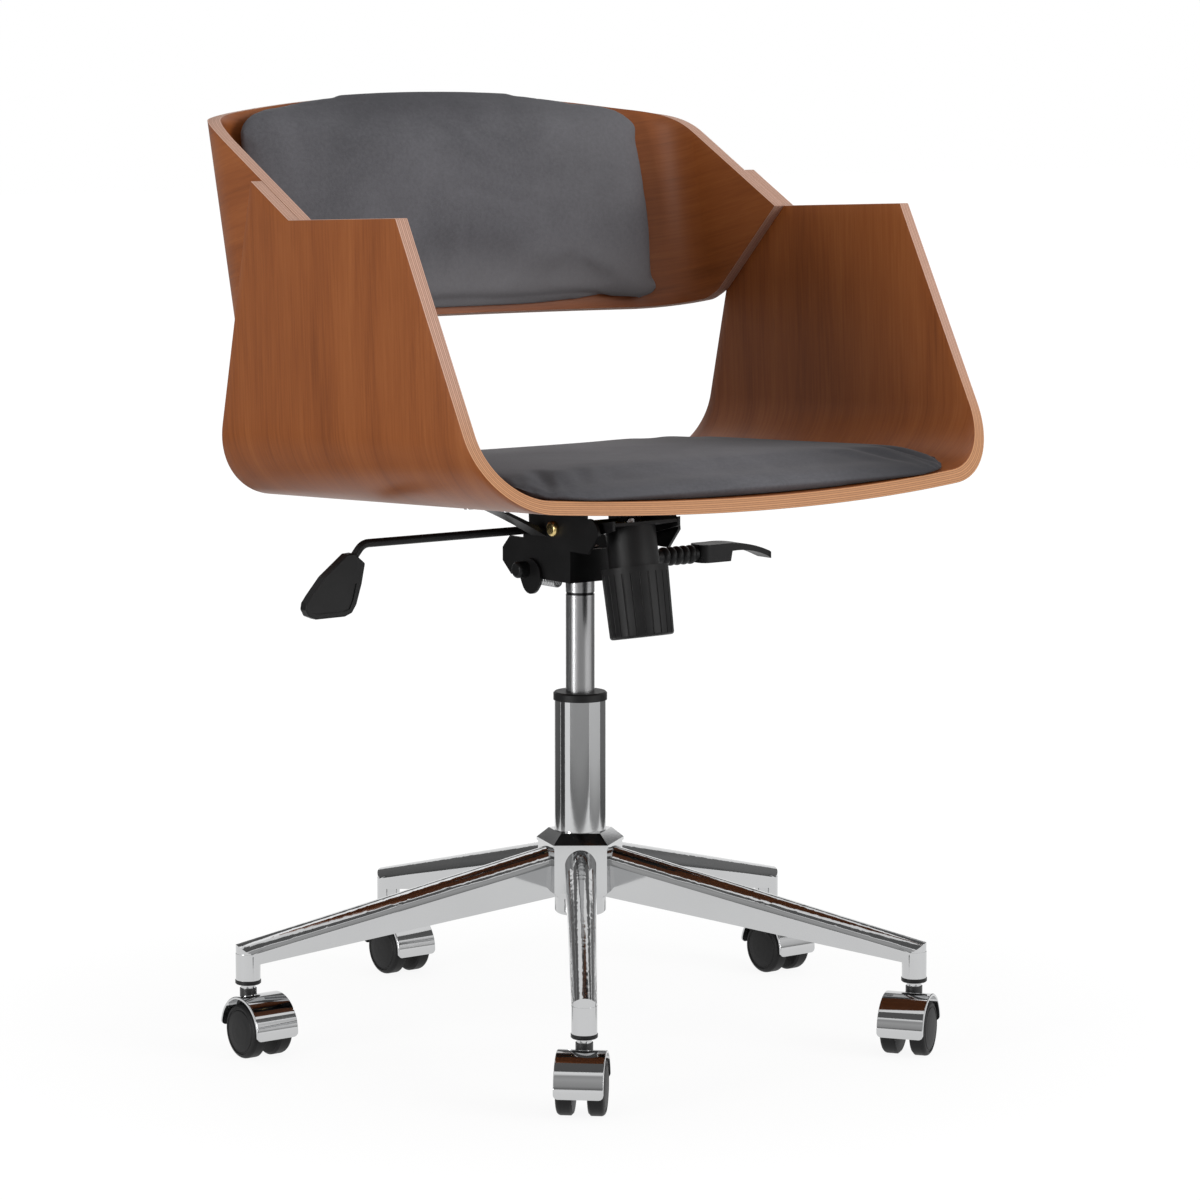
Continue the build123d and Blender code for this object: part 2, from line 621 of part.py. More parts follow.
with BuildPart() as tilt_housing:
    for wall in (HOUSING_HALF - PLATE, -HOUSING_HALF):
        with BuildSketch(Plane.YZ.offset(wall)):
            with BuildLine():
                Polyline(*WALL_OUTLINE, close=True)
            make_face()
        extrude(amount=PLATE)
    # Ear that the height lever rocks in
    with BuildSketch(Plane.YZ.offset(-HOUSING_HALF)):
        with Locations((LEVER_Y, (LEVER_Z + HOUSING_RIM) / 2)):
            Rectangle(LEVER_D + 12, LEVER_Z + LEVER_D + 2 - HOUSING_RIM + PLATE)
    extrude(amount=PLATE)
    with BuildSketch(Plane.XY.offset(HOUSING_BOTTOM)):
        with BuildLine():
            Polyline(
                (-HOUSING_HALF, HOUSING_FRONT),
                (HOUSING_HALF, HOUSING_FRONT),
                (HOUSING_HALF, HOUSING_REAR - 14),
                (-HOUSING_HALF, HOUSING_REAR - 14),
                close=True,
            )
        make_face()
        Circle(SOCKET_TUBE_D / 2 + SEATED, mode=Mode.SUBTRACT)
    extrude(amount=PLATE)
    with BuildSketch(Plane.XZ.offset(-HOUSING_FRONT)):
        with BuildLine():
            Polyline(
                (-HOUSING_HALF, HOUSING_BOTTOM),
                (HOUSING_HALF, HOUSING_BOTTOM),
                (HOUSING_HALF, HOUSING_RIM - 6),
                (-HOUSING_HALF, HOUSING_RIM - 6),
                close=True,
            )
        make_face()
    extrude(amount=-PLATE)
    with BuildSketch(along_bolt(TONGUE_AT + PLATE)):
        tongue_rear = (HOUSING_FRONT - TENSION_Y) / cos(radians(TENSION_LEAN))
        with BuildLine():
            Polyline(
                (-HOUSING_HALF + 1, -26),
                (HOUSING_HALF - 1, -26),
                (HOUSING_HALF - 1, tongue_rear - 4),
                (-HOUSING_HALF + 1, tongue_rear - 4),
                close=True,
            )
        make_face()
        Circle(TENSION_BOLT_D / 2 + AIR, mode=Mode.SUBTRACT)
    extrude(amount=PLATE)
    # Bosses beside the pivot, which keep the seat plate's flanges centred
    with BuildSketch(Plane.YZ.offset(-BRACKET_HALF + AIR)):
        with Locations((PIVOT_Y, PIVOT_Z)):
            Circle(PIVOT_D / 2 + 4)
    extrude(amount=BRACKET_HALF - AIR - HOUSING_HALF)
    with BuildSketch(Plane.YZ.offset(HOUSING_HALF)):
        with Locations((PIVOT_Y, PIVOT_Z)):
            Circle(PIVOT_D / 2 + 4)
    extrude(amount=BRACKET_HALF - AIR - HOUSING_HALF)
    with BuildSketch(Plane.YZ):
        with Locations((PIVOT_Y, PIVOT_Z)):
            Circle(PIVOT_D / 2 + SEATED)
        with Locations((LOCK_Y, LOCK_Z)):
            Circle(LOCK_D / 2 + RUNNING)
    extrude(amount=2 * HOUSING_HALF, both=True, mode=Mode.SUBTRACT)
    with BuildSketch(Plane.YZ):
        with Locations((LEVER_Y, LEVER_Z)):
            Circle(LEVER_D / 2 + AIR)
    extrude(amount=-2 * HOUSING_HALF, mode=Mode.SUBTRACT)
tilt_housing.part.label = "tilt_housing"
export_step(tilt_housing.part, "parts/tilt_housing.step")

# Pivot bolt with a domed head on the sitter's right
PIVOT_HALF = BRACKET_HALF + PLATE + AIR
with BuildPart() as pivot_pin:
    with BuildSketch(Plane.YZ.offset(-PIVOT_HALF)):
        with Locations((PIVOT_Y, PIVOT_Z)):
            Circle(PIVOT_D / 2)
    extrude(amount=2 * PIVOT_HALF)
    for end in (-PIVOT_HALF - PIVOT_HEAD_T, PIVOT_HALF):
        with BuildSketch(Plane.YZ.offset(end)):
            with Locations((PIVOT_Y, PIVOT_Z)):
                Circle(PIVOT_HEAD_D / 2)
        extrude(amount=PIVOT_HEAD_T)
    fillet(pivot_pin.edges().group_by(Axis.X)[0], PIVOT_HEAD_T * 0.6)
    fillet(pivot_pin.edges().group_by(Axis.X)[-1], PIVOT_HEAD_T * 0.6)
pivot_pin.part.label = "pivot_pin"
export_step(pivot_pin.part, "parts/pivot_pin.step")

# Height lever: from the valve, out through the ear, then down into the grip
drop = radians(LEVER_DROP_DEG)
GRIP_ROOT = (LEVER_REACH - GRIP_DROP * cos(drop), LEVER_Z - GRIP_DROP * sin(drop))
with BuildPart() as height_lever_rod:
    with BuildLine() as lever_path:
        FilletPolyline(
            (VALVE_D, -VALVE_D / 4, LEVER_Z),
            (-0.65 * HOUSING_HALF, LEVER_Y, LEVER_Z),
            (LEVER_REACH, LEVER_Y, LEVER_Z),
            (GRIP_ROOT[0], LEVER_Y, GRIP_ROOT[1]),
            radius=LEVER_BEND_R,
        )
    with BuildSketch(Plane(lever_path.line @ 0, z_dir=lever_path.line % 0)):
        Circle(LEVER_D / 2)
    sweep()
height_lever_rod.part.label = "height_lever_rod"
export_step(height_lever_rod.part, "parts/height_lever_rod.step")

GRIP_OUTLINE = (  # shares of the grip's width and height, from the rod's end
    (-0.015, 0.249),
    (0.105, 0.258),
    (0.286, 0.085),
    (0.263, -0.034),
    (0.226, -0.237),
    (0.135, -0.559),
    (0.060, -0.686),
    (-0.060, -0.737),
    (-0.541, -0.742),
    (-0.662, -0.686),
    (-0.714, -0.576),
    (-0.699, -0.475),
    (-0.617, -0.356),
    (-0.406, -0.085),
)
GRIP_HOLLOW = (
    (0.135, -0.220),
    (0.070, -0.500),
    (0.015, -0.620),
    (-0.070, -0.655),
    (-0.530, -0.660),
    (-0.610, -0.625),
    (-0.640, -0.560),
    (-0.630, -0.490),
    (-0.550, -0.385),
    (-0.400, -0.200),
)


def grip_points(shares):
    """Return an outline of the grip, drawn from the rod's end."""
    return [(GRIP_ROOT[0] + across * GRIP_W, GRIP_ROOT[1] + up * GRIP_H) for across, up in shares]


# Drop-shaped grip with a hollowed front
with BuildPart() as height_lever_grip:
    with BuildSketch(Plane.XZ.offset(-LEVER_Y - GRIP_T / 2)) as grip_face:
        with BuildLine():
            Polyline(*grip_points(GRIP_OUTLINE), close=True)
        make_face()
        fillet(grip_face.vertices(), GRIP_CORNER)
    extrude(amount=GRIP_T)
    fillet(height_lever_grip.edges().filter_by(Plane.XZ), GRIP_CORNER * 0.6)
    with BuildSketch(Plane.XZ.offset(-LEVER_Y + GRIP_T / 2)):
        with BuildLine():
            Polyline(*grip_points(GRIP_HOLLOW), close=True)
        make_face()
    extrude(amount=-GRIP_RECESS, mode=Mode.SUBTRACT)
    along = Plane((GRIP_ROOT[0], LEVER_Y, GRIP_ROOT[1]), z_dir=(cos(drop), 0, sin(drop)))
    with BuildSketch(along.offset(-AIR)):
        Circle(LEVER_D / 2 + SEATED)
    extrude(amount=40, mode=Mode.SUBTRACT)
height_lever_grip.part.label = "height_lever_grip"
export_step(height_lever_grip.part, "parts/height_lever_grip.step")

# Lock shaft across the housing
EAR_X = -HOUSING_HALF - AIR
PADDLE_X = LOCK_SLEEVE_X + LOCK_SLEEVE_L
with BuildPart() as lock_shaft:
    with BuildSketch(Plane.YZ.offset(EAR_X - LOCK_EAR_T - LOCK_CAP_L + 3)):
        with Locations((LOCK_Y, LOCK_Z)):
            Circle(LOCK_D / 2)
    extrude(amount=PADDLE_X + 20 - EAR_X + LOCK_EAR_T + LOCK_CAP_L - 3)
lock_shaft.part.label = "lock_shaft"
export_step(lock_shaft.part, "parts/lock_shaft.step")

# Ribbed sleeve between the housing and the paddle
with BuildPart() as lock_sleeve:
    neck = LOCK_SLEEVE_D / 2 - 2.2
    rib_pitch = LOCK_SLEEVE_L * 0.62 / LOCK_RIBS
    rib_start = LOCK_SLEEVE_X + LOCK_SLEEVE_L - LOCK_RIBS * rib_pitch - 3
    with BuildSketch(Plane((0, LOCK_Y, LOCK_Z), x_dir=(1, 0, 0), z_dir=(0, -1, 0))):
        with BuildLine():
            Polyline((rib_start, neck), (LOCK_SLEEVE_X, neck), (LOCK_SLEEVE_X, LOCK_D / 2 + SEATED))
            Polyline((LOCK_SLEEVE_X, LOCK_D / 2 + SEATED), (PADDLE_X, LOCK_D / 2 + SEATED), (PADDLE_X, neck))
            Line((PADDLE_X, neck), (rib_start + LOCK_RIBS * rib_pitch, neck))
            for rib in range(LOCK_RIBS):
                start = rib_start + rib * rib_pitch
                crest = start + rib_pitch / 2
                ThreePointArc((start, neck), (crest, LOCK_SLEEVE_D / 2), (start + rib_pitch, neck))
        make_face()
    revolve(axis=Axis((0, LOCK_Y, LOCK_Z), (1, 0, 0)))
lock_sleeve.part.label = "lock_sleeve"
export_step(lock_sleeve.part, "parts/lock_sleeve.step")

# Flat paddle of the tilt lock, with a block at its root and a curled tip
with BuildPart() as lock_paddle:
    with BuildSketch(Plane.XZ.offset(-LOCK_Y - LOCK_PADDLE_W / 2)):
        top = LOCK_Z + LOCK_SLEEVE_D / 2
        tip = PADDLE_X + LOCK_PADDLE_L
        with BuildLine():
            Polyline((PADDLE_X, top - LOCK_SLEEVE_D + 1), (PADDLE_X, top), (PADDLE_X + 24, top))
            ThreePointArc((PADDLE_X + 24, top), (PADDLE_X + 62, top - 3.5), (tip - 2, top - 13))
            ThreePointArc((tip - 2, top - 13), (tip, top - 16.5), (tip - 3, top - 19))
            ThreePointArc((tip - 3, top - 19), (PADDLE_X + 62, top - 9.5), (PADDLE_X + 37, top - 8))
            Polyline((PADDLE_X + 37, top - 8), (PADDLE_X + 35, top - LOCK_SLEEVE_D + 1))
            Line((PADDLE_X + 35, top - LOCK_SLEEVE_D + 1), (PADDLE_X, top - LOCK_SLEEVE_D + 1))
        make_face()
    extrude(amount=LOCK_PADDLE_W)
    with BuildSketch(Plane.XY):
        with Locations(((PADDLE_X + tip) / 2, LOCK_Y)):
            RectangleRounded(LOCK_PADDLE_L, LOCK_PADDLE_W, 9)
    extrude(amount=LOCK_Z + LOCK_SLEEVE_D, mode=Mode.INTERSECT)
    with BuildSketch(Plane.YZ.offset(PADDLE_X)):
        with Locations((LOCK_Y, LOCK_Z)):
            Circle(LOCK_D / 2 + SEATED)
    extrude(amount=20 + AIR, mode=Mode.SUBTRACT)
lock_paddle.part.label = "lock_paddle"
export_step(lock_paddle.part, "parts/lock_paddle.step")

# Ear plate and end cap on the shaft's other end
with BuildPart() as lock_ear:
    with BuildSketch(Plane.YZ.offset(EAR_X - LOCK_EAR_T)):
        with BuildLine():
            ThreePointArc((LOCK_Y + 12, LOCK_Z - 3), (LOCK_Y - 4, LOCK_Z + 11), (LOCK_Y - 21, LOCK_Z + 4))
            ThreePointArc((LOCK_Y - 21, LOCK_Z + 4), (LOCK_Y - 24, LOCK_Z - 6), (LOCK_Y - 19, LOCK_Z - 17))
            ThreePointArc((LOCK_Y - 19, LOCK_Z - 17), (LOCK_Y - 7, LOCK_Z - 23), (LOCK_Y + 4, LOCK_Z - 17))
            Line((LOCK_Y + 4, LOCK_Z - 17), (LOCK_Y + 12, LOCK_Z - 3))
        make_face()
    extrude(amount=LOCK_EAR_T)
    with BuildSketch(Plane.YZ.offset(EAR_X - LOCK_EAR_T - LOCK_CAP_L)):
        with Locations((LOCK_Y, LOCK_Z)):
            Circle(LOCK_CAP_D / 2)
    extrude(amount=LOCK_CAP_L)
    fillet(lock_ear.edges().group_by(Axis.X)[0], 3.0)
    with BuildSketch(Plane.YZ.offset(EAR_X - LOCK_EAR_T - LOCK_CAP_L + 3 - AIR)):
        with Locations((LOCK_Y, LOCK_Z)):
            Circle(LOCK_D / 2 + SEATED)
    extrude(amount=LOCK_CAP_L + LOCK_EAR_T, mode=Mode.SUBTRACT)
lock_ear.part.label = "lock_ear"
export_step(lock_ear.part, "parts/lock_ear.step")

# Tension bolt: a slotted flat head on the cross pin, and a round shank down to the knob
CUP_AT = TONGUE_AT + PLATE + SEATED
KNOB_END = KNOB_AT + KNOB_L
with BuildPart() as tension_bolt:
    slot_high = EYE_PIN_D / 2 + EYE_SLACK
    with BuildSketch(on(TENSION, Plane.YZ.offset(-EYE_T / 2))):
        with Locations((EYE_SWAY / 2, 0)):
            SlotOverall(2 * slot_high + EYE_SWAY + 6, 2 * slot_high + 5)
    extrude(amount=EYE_T)
    with BuildSketch(along_bolt(slot_high + 1)):
        Circle(TENSION_BOLT_D / 2)
    extrude(amount=-(KNOB_END - KNOB_FLOOR / 3 - slot_high - 1))
    with BuildSketch(on(TENSION, Plane.YZ.offset(-EYE_T))):
        with Locations((EYE_SWAY / 2, 0)):
            SlotOverall(2 * slot_high + EYE_SWAY, 2 * slot_high)
    extrude(amount=2 * EYE_T, mode=Mode.SUBTRACT)
tension_bolt.part.label = "tension_bolt"
export_step(tension_bolt.part, "parts/tension_bolt.step")

# Spring cup under the tongue
with BuildPart() as spring_cup:
    with BuildSketch(along_bolt(CUP_AT)):
        Circle(CUP_D / 2)
    extrude(amount=-CUP_L)
    with BuildSketch(along_bolt(CUP_AT + CUP_WALL)):
        Circle(CUP_D / 2 - CUP_WALL)
    extrude(amount=-CUP_L, mode=Mode.SUBTRACT)
    with BuildSketch(along_bolt(CUP_AT)):
        Circle(TENSION_BOLT_D / 2 + AIR)
    extrude(amount=-CUP_L, mode=Mode.SUBTRACT)
spring_cup.part.label = "spring_cup"
export_step(spring_cup.part, "parts/spring_cup.step")

# Tension knob, hollow from above, screwed on the bolt
with BuildPart() as tension_knob:
    with BuildSketch(along_bolt(KNOB_AT)):
        Circle(KNOB_D / 2)
    with BuildSketch(along_bolt(KNOB_END)):
        Circle(KNOB_TIP_D / 2)
    loft(ruled=True)
    fillet(tension_knob.edges().sort_by(Axis.Z)[0], 3.0)
    for flute in range(KNOB_FLUTES):
        x, y = polar(1.0, 360 / KNOB_FLUTES * flute)
        upper = (TENSION * Pos(x * KNOB_D / 2, y * KNOB_D / 2, -KNOB_AT - KNOB_FLOOR * 0.3)).position
        lower = (TENSION * Pos(x * KNOB_TIP_D / 2, y * KNOB_TIP_D / 2, -KNOB_END)).position
        with BuildSketch(Plane(upper, z_dir=lower - upper)):
            Circle(KNOB_FLUTE_R)
        extrude(amount=KNOB_L, mode=Mode.SUBTRACT)
    with BuildSketch(along_bolt(KNOB_AT)):
        Circle(KNOB_BORE_D / 2)
    extrude(amount=-(KNOB_L - KNOB_FLOOR), mode=Mode.SUBTRACT)
    with BuildSketch(along_bolt(KNOB_AT)):
        Circle(TENSION_BOLT_D / 2 + RUNNING)
    extrude(amount=-(KNOB_L - KNOB_FLOOR / 3 + AIR), mode=Mode.SUBTRACT)
tension_knob.part.label = "tension_knob"
export_step(tension_knob.part, "parts/tension_knob.step")

# Tension spring, out of sight between the cup and the knob, as a plain sleeve
SPRING_TOP = CUP_AT + CUP_WALL + AIR
SPRING_END = KNOB_END - KNOB_FLOOR - AIR
with BuildPart() as tension_spring:
    with BuildSketch(along_bolt(SPRING_TOP)):
        Circle(TENSION_SPRING_D / 2)
        Circle(TENSION_SPRING_D / 2 - TENSION_SPRING_WIRE, mode=Mode.SUBTRACT)
    extrude(amount=-(SPRING_END - SPRING_TOP))
tension_spring.part.label = "tension_spring"
export_step(tension_spring.part, "parts/tension_spring.step")


def helix_point(turn):
    """Return the return spring's centre line point after a number of turns."""
    angle = 2 * pi * turn
    z = HOUSING_BOTTOM - AIR - RETURN_WIRE / 2 - RETURN_D / 2
    across = RETURN_X + RETURN_D / 2 * cos(angle)
    return Vector(across, RETURN_Y + RETURN_PITCH * turn, z + RETURN_D / 2 * sin(angle))


def helix_tangent(turn):
    """Return the return spring's direction after a number of turns."""
    angle = 2 * pi * turn
    rise = RETURN_PITCH / (pi * RETURN_D)
    return Vector(-sin(angle), rise, cos(angle)).normalized()


def biarc(start, start_way, end, end_way):
    """Draw two arcs that leave one point and reach another along given directions."""
    chord = end - start
    ways = start_way + end_way
    square = 2 * (1 - start_way.dot(end_way))
    straight = chord.dot(ways)
    reach = (-straight + sqrt(straight**2 + square * chord.dot(chord))) / square
    joint = (start + start_way * reach + end - end_way * reach) * 0.5
    joint_way = (end - end_way * reach - start - start_way * reach).normalized()
    TangentArc(start, joint, tangent=start_way)
    TangentArc(joint, end, tangent=joint_way)


# Return spring of the lock, one helical tube under the housing
with BuildPart() as return_spring:
    with BuildLine() as coil:
        for half in range(2 * RETURN_TURNS):
            biarc(
                helix_point(half / 2),
                helix_tangent(half / 2),
                helix_point(half / 2 + 0.5),
                helix_tangent(half / 2 + 0.5),
            )
    with BuildSketch(Plane(helix_point(0), z_dir=helix_tangent(0))):
        Circle(RETURN_WIRE / 2)
    sweep()
return_spring.part.label = "return_spring"
export_step(return_spring.part, "parts/return_spring.step")

coil_points = [helix_point(step / 48) for step in range(48 * RETURN_TURNS)]
coil_gap = min(
    (coil_points[one] - coil_points[two]).length
    for one in range(0, len(coil_points), 6)
    for two in range(one + 24, min(one + 72, len(coil_points)))
)
print("return spring least gap to itself", round(coil_gap - RETURN_WIRE, 3))

# Seat frame on the tilt pivot
SEAT = Location((0, PIVOT_Y, PIVOT_Z), (-RAKE, 0, 0))

# Section of the bent shell: a shallow dish, two round bends and upright arms
BEND_X = ARM_HALF - BEND_R
DISH_Z = PAN_Z + DISH_R
BEND_Z = DISH_Z - sqrt((DISH_R - BEND_R) ** 2 - BEND_X**2)
DISH_DEG = degrees(asin(BEND_X / (DISH_R - BEND_R)))


def shell_curve(depth, top):
    """Return the corner points of the shell's section at a depth inside its outer face."""
    dish = DISH_R - depth
    bend = BEND_R - depth
    turn = radians(DISH_DEG)
    half_turn = radians((DISH_DEG + 90) / 2)
    return {
        "top": (ARM_HALF - depth, top),
        "wall": (ARM_HALF - depth, BEND_Z),
        "mid": (BEND_X + bend * sin(half_turn), BEND_Z - bend * cos(half_turn)),
        "join": (dish * sin(turn), DISH_Z - dish * cos(turn)),
        "low": (0, DISH_Z - dish),
    }


def draw_shell_edge(depth, top):
    """Draw one face line of the shell's section, from the right arm's top to the left arm's top."""
    c = shell_curve(depth, top)
    Line(c["top"], c["wall"])
    ThreePointArc(c["wall"], c["mid"], c["join"])
    ThreePointArc(c["join"], c["low"], mirrored(c["join"]))
    ThreePointArc(mirrored(c["join"]), mirrored(c["mid"]), mirrored(c["wall"]))
    Line(mirrored(c["wall"]), mirrored(c["top"]))


def dish_height(x, depth):
    """Return the height of the pan's dish at a distance from the centre line."""
    return DISH_Z - sqrt((DISH_R - depth) ** 2 - x**2)


FAR = 400.0  # past every edge of the seat


def screw_places():
    """Return the seat screws' places on the strap, as (x, y) in the seat frame."""
    return [(x, y) for x in (-SCREW_X, SCREW_X) for y in SCREW_Y]


# Where the band is doweled to the arms, in the seat frame's side view
HORN_RUN = HORN_TIP_Y - HORN_FOOT_Y
DOWEL_PLACES = (
    (HORN_FOOT_Y + HORN_RUN * 0.77, ARM_TOP * 0.96),
    (HORN_FOOT_Y + HORN_RUN * 1.22, ARM_TOP * 0.825),
)
BAND_HALF = ARM_HALF - PLY - GLUE

# Bent plywood shell: seat pan and both arms in one piece
with BuildPart() as seat_shell:
    with BuildSketch(on(SEAT, Plane.XZ.offset(-FAR))):
        with BuildLine():
            draw_shell_edge(0, HORN_TIP_Z + PLY)
            draw_shell_edge(PLY, HORN_TIP_Z + PLY)
            outer = shell_curve(0, HORN_TIP_Z + PLY)["top"]
            inner = shell_curve(PLY, HORN_TIP_Z + PLY)["top"]
            Line(outer, inner)
            Line(mirrored(outer), mirrored(inner))
        make_face()
    extrude(amount=2 * FAR)
    # Side view: level arm tops, a horn at the rear and a straight rear edge
    with BuildSketch(on(SEAT, Plane.YZ)):
        with BuildLine():
            Polyline(
                (-FAR, ARM_TOP),
                (HORN_FOOT_Y, ARM_TOP),
                (HORN_TIP_Y, HORN_TIP_Z),
                (HORN_TIP_Y + REAR_SLOPE * HORN_TIP_Z, 0),
                (-FAR, 0),
                close=True,
            )
        make_face()
    extrude(amount=FAR, both=True, mode=Mode.INTERSECT)
    # Front edge: one bowed cut that leans back with height
    cut_lean = sqrt(1 + FRONT_SLOPE**2)
    cut_plane = Plane((0, 0, EDGE_Z), x_dir=(1, 0, 0), z_dir=(0, FRONT_SLOPE, 1))
    with BuildSketch(on(SEAT, cut_plane)):
        bow = (FRONT_SIDE_Y - FRONT_Y) / cut_lean
        bow_r = (ARM_HALF**2 + bow**2) / (2 * bow)
        corner = (FAR, FRONT_Y / cut_lean + bow_r - sqrt(bow_r**2 - FAR**2))
        with BuildLine():
            ThreePointArc(mirrored(corner), (0, FRONT_Y / cut_lean), corner)
            Polyline(corner, (FAR, -2 * FAR), (-FAR, -2 * FAR), mirrored(corner))
        make_face()
    extrude(amount=2 * FAR, both=True, mode=Mode.SUBTRACT)
    for x, y in screw_places():
        with BuildSketch(on(SEAT, Plane((x, y, 0)))):
            Circle(SCREW_D / 2 + SEATED)
        extrude(amount=dish_height(x, 0) + SCREW_DEPTH + AIR, mode=Mode.SUBTRACT)
    with BuildSketch(on(SEAT, Plane.YZ)):
        with Locations(*DOWEL_PLACES):
            Circle(DOWEL_D / 2 + SEATED)
    extrude(amount=BAND_HALF + DOWEL_L / 2 + AIR, both=True, mode=Mode.SUBTRACT)
seat_shell.part.label = "seat_shell"
export_step(seat_shell.part, "parts/seat_shell.step")

# Steel plate under the pan: a strap that follows the dish, sloping wings and two pivot flanges
with BuildPart() as top_plate:
    with BuildSketch(on(SEAT, Plane.XZ.offset(-STRAP_REAR))):
        root = BRACKET_HALF + PLATE
        with BuildLine():
            for depth in (-SEATED, -PLATE):
                edge = (root, dish_height(root, depth))
                ThreePointArc(edge, (0, dish_height(0, depth)), mirrored(edge))
            for x in (-root, root):
                Line((x, dish_height(x, -SEATED)), (x, dish_height(x, -PLATE)))
        make_face()
    extrude(amount=STRAP_REAR - STRAP_FRONT)
    # Two straps out to the screws, one in front of the pivot and one behind it
    for rear, width in ((STRAP_REAR, STRAP_REAR - OUTRIGGER_GAP), (-OUTRIGGER_GAP, -OUTRIGGER_GAP - STRAP_FRONT)):
        with BuildSketch(on(SEAT, Plane.XZ.offset(-rear))):
            with BuildLine():
                for depth in (-SEATED, -PLATE):
                    edge = (STRAP_HALF, dish_height(STRAP_HALF, depth))
                    ThreePointArc(edge, (0, dish_height(0, depth)), mirrored(edge))
                for x in (-STRAP_HALF, STRAP_HALF):
                    Line((x, dish_height(x, -SEATED)), (x, dish_height(x, -PLATE)))
            make_face()
        extrude(amount=width)
    # Sloping wings that hold the rear strap up from the flanges
    with BuildSketch(on(SEAT, Plane.XZ.offset(-STRAP_REAR))):
        wing = STRAP_HALF * 0.76
        wing_z = dish_height(wing, -PLATE)
        for hand in (-1, 1):
            with BuildLine():
                Line((hand * BRACKET_HALF, -8), (hand * root, -8))
                ThreePointArc((hand * root, -8), (hand * (root + 24), 5), (hand * wing, wing_z - 2))
                Line((hand * wing, wing_z - 2), (hand * (wing + 18), dish_height(wing + 18, -PLATE / 2)))
                Line((hand * (wing + 18), dish_height(wing + 18, -PLATE / 2)), (hand * wing, wing_z + 1))
                ThreePointArc((hand * wing, wing_z + 1), (hand * (root + 22), 8), (hand * BRACKET_HALF, -4))
                Line((hand * BRACKET_HALF, -4), (hand * BRACKET_HALF, -8))
            make_face()
    extrude(amount=STRAP_REAR - OUTRIGGER_GAP)
    for flange in (BRACKET_HALF, -BRACKET_HALF - PLATE):
        with BuildSketch(on(SEAT, Plane.YZ.offset(flange))):
            with BuildLine():
                crown = dish_height(BRACKET_HALF, -PLATE / 2)
                Polyline(
                    (STRAP_FRONT + 8, FLANGE_NOSE),
                    (STRAP_FRONT + 8, crown),
                    (STRAP_REAR + 3, crown),
                    (STRAP_REAR + 3, -FLANGE_DROP * 0.8),
                    (STRAP_FRONT + 6, -FLANGE_DROP),
                    (STRAP_FRONT - FLANGE_NOSE, -4),
                )
                ThreePointArc(
                    (STRAP_FRONT - FLANGE_NOSE, -4),
                    (STRAP_FRONT - FLANGE_NOSE * 0.65, FLANGE_NOSE * 0.6),
                    (STRAP_FRONT + 8, FLANGE_NOSE),
                )
            make_face()
            Circle(PIVOT_D / 2 + RUNNING, mode=Mode.SUBTRACT)
        extrude(amount=PLATE)
    # Ears that carry the tension bolt's cross pin
    eye = (SEAT.inverse() * Pos(0, TENSION_Y, TENSION_Z)).position
    eye_y = eye.Y
    eye_z = eye.Z
    for ear in (EYE_T / 2 + 2, -EYE_T / 2 - 2 - PLATE):
        with BuildSketch(on(SEAT, Plane.YZ.offset(ear))):
            with BuildLine():
                Line((eye_y - 7, eye_z), (eye_y - 7, dish_height(0, -PLATE / 2)))
                Line((eye_y - 7, dish_height(0, -PLATE / 2)), (eye_y + 7, dish_height(0, -PLATE / 2)))
                Line((eye_y + 7, dish_height(0, -PLATE / 2)), (eye_y + 7, eye_z))
                ThreePointArc((eye_y + 7, eye_z), (eye_y, eye_z - 7), (eye_y - 7, eye_z))
            make_face()
            with Locations((eye_y, eye_z)):
                Circle(EYE_PIN_D / 2 + SEATED, mode=Mode.SUBTRACT)
        extrude(amount=PLATE)
    with BuildSketch(on(SEAT, Plane.XY)):
        with Locations(*screw_places()):
            Circle(SCREW_D / 2 + AIR)
    extrude(amount=FAR, mode=Mode.SUBTRACT)
top_plate.part.label = "top_plate"
export_step(top_plate.part, "parts/top_plate.step")

with BuildPart() as tension_eye_pin:
    reach = EYE_T / 2 + 2 + PLATE + 2
    with BuildSketch(on(SEAT, Plane.YZ.offset(-reach))):
        with Locations((eye_y, eye_z)):
            Circle(EYE_PIN_D / 2)
    extrude(amount=2 * reach)
tension_eye_pin.part.label = "tension_eye_pin"
export_step(tension_eye_pin.part, "parts/tension_eye_pin.step")

# Four screws from the strap up into the pan
with BuildPart() as seat_screws:
    for x, y in screw_places():
        seat_face = dish_height(x, -PLATE) - 0.6
        with BuildSketch(on(SEAT, Plane((x, y, seat_face - SCREW_HEAD_T)))):
            Circle(SCREW_HEAD_D / 2)
        extrude(amount=SCREW_HEAD_T)
        with BuildSketch(on(SEAT, Plane((x, y, seat_face)))):
            Circle(SCREW_D / 2)
        extrude(amount=dish_height(x, 0) + SCREW_DEPTH - seat_face)
seat_screws.part.label = "seat_screws"
export_step(seat_screws.part, "parts/seat_screws.step")

# Back band: a bent strip, its plan drawn across its lean
BAND = SEAT * Location((0, BAND_Y, BAND_Z), (-BAND_LEAN, 0, 0))
BAND_BEND_X = BAND_HALF - BAND_BEND_R
BACK_V = -sqrt((BAND_BACK_R - BAND_BEND_R) ** 2 - BAND_BEND_X**2)
BACK_DEG = degrees(asin(BAND_BEND_X / (BAND_BACK_R - BAND_BEND_R)))


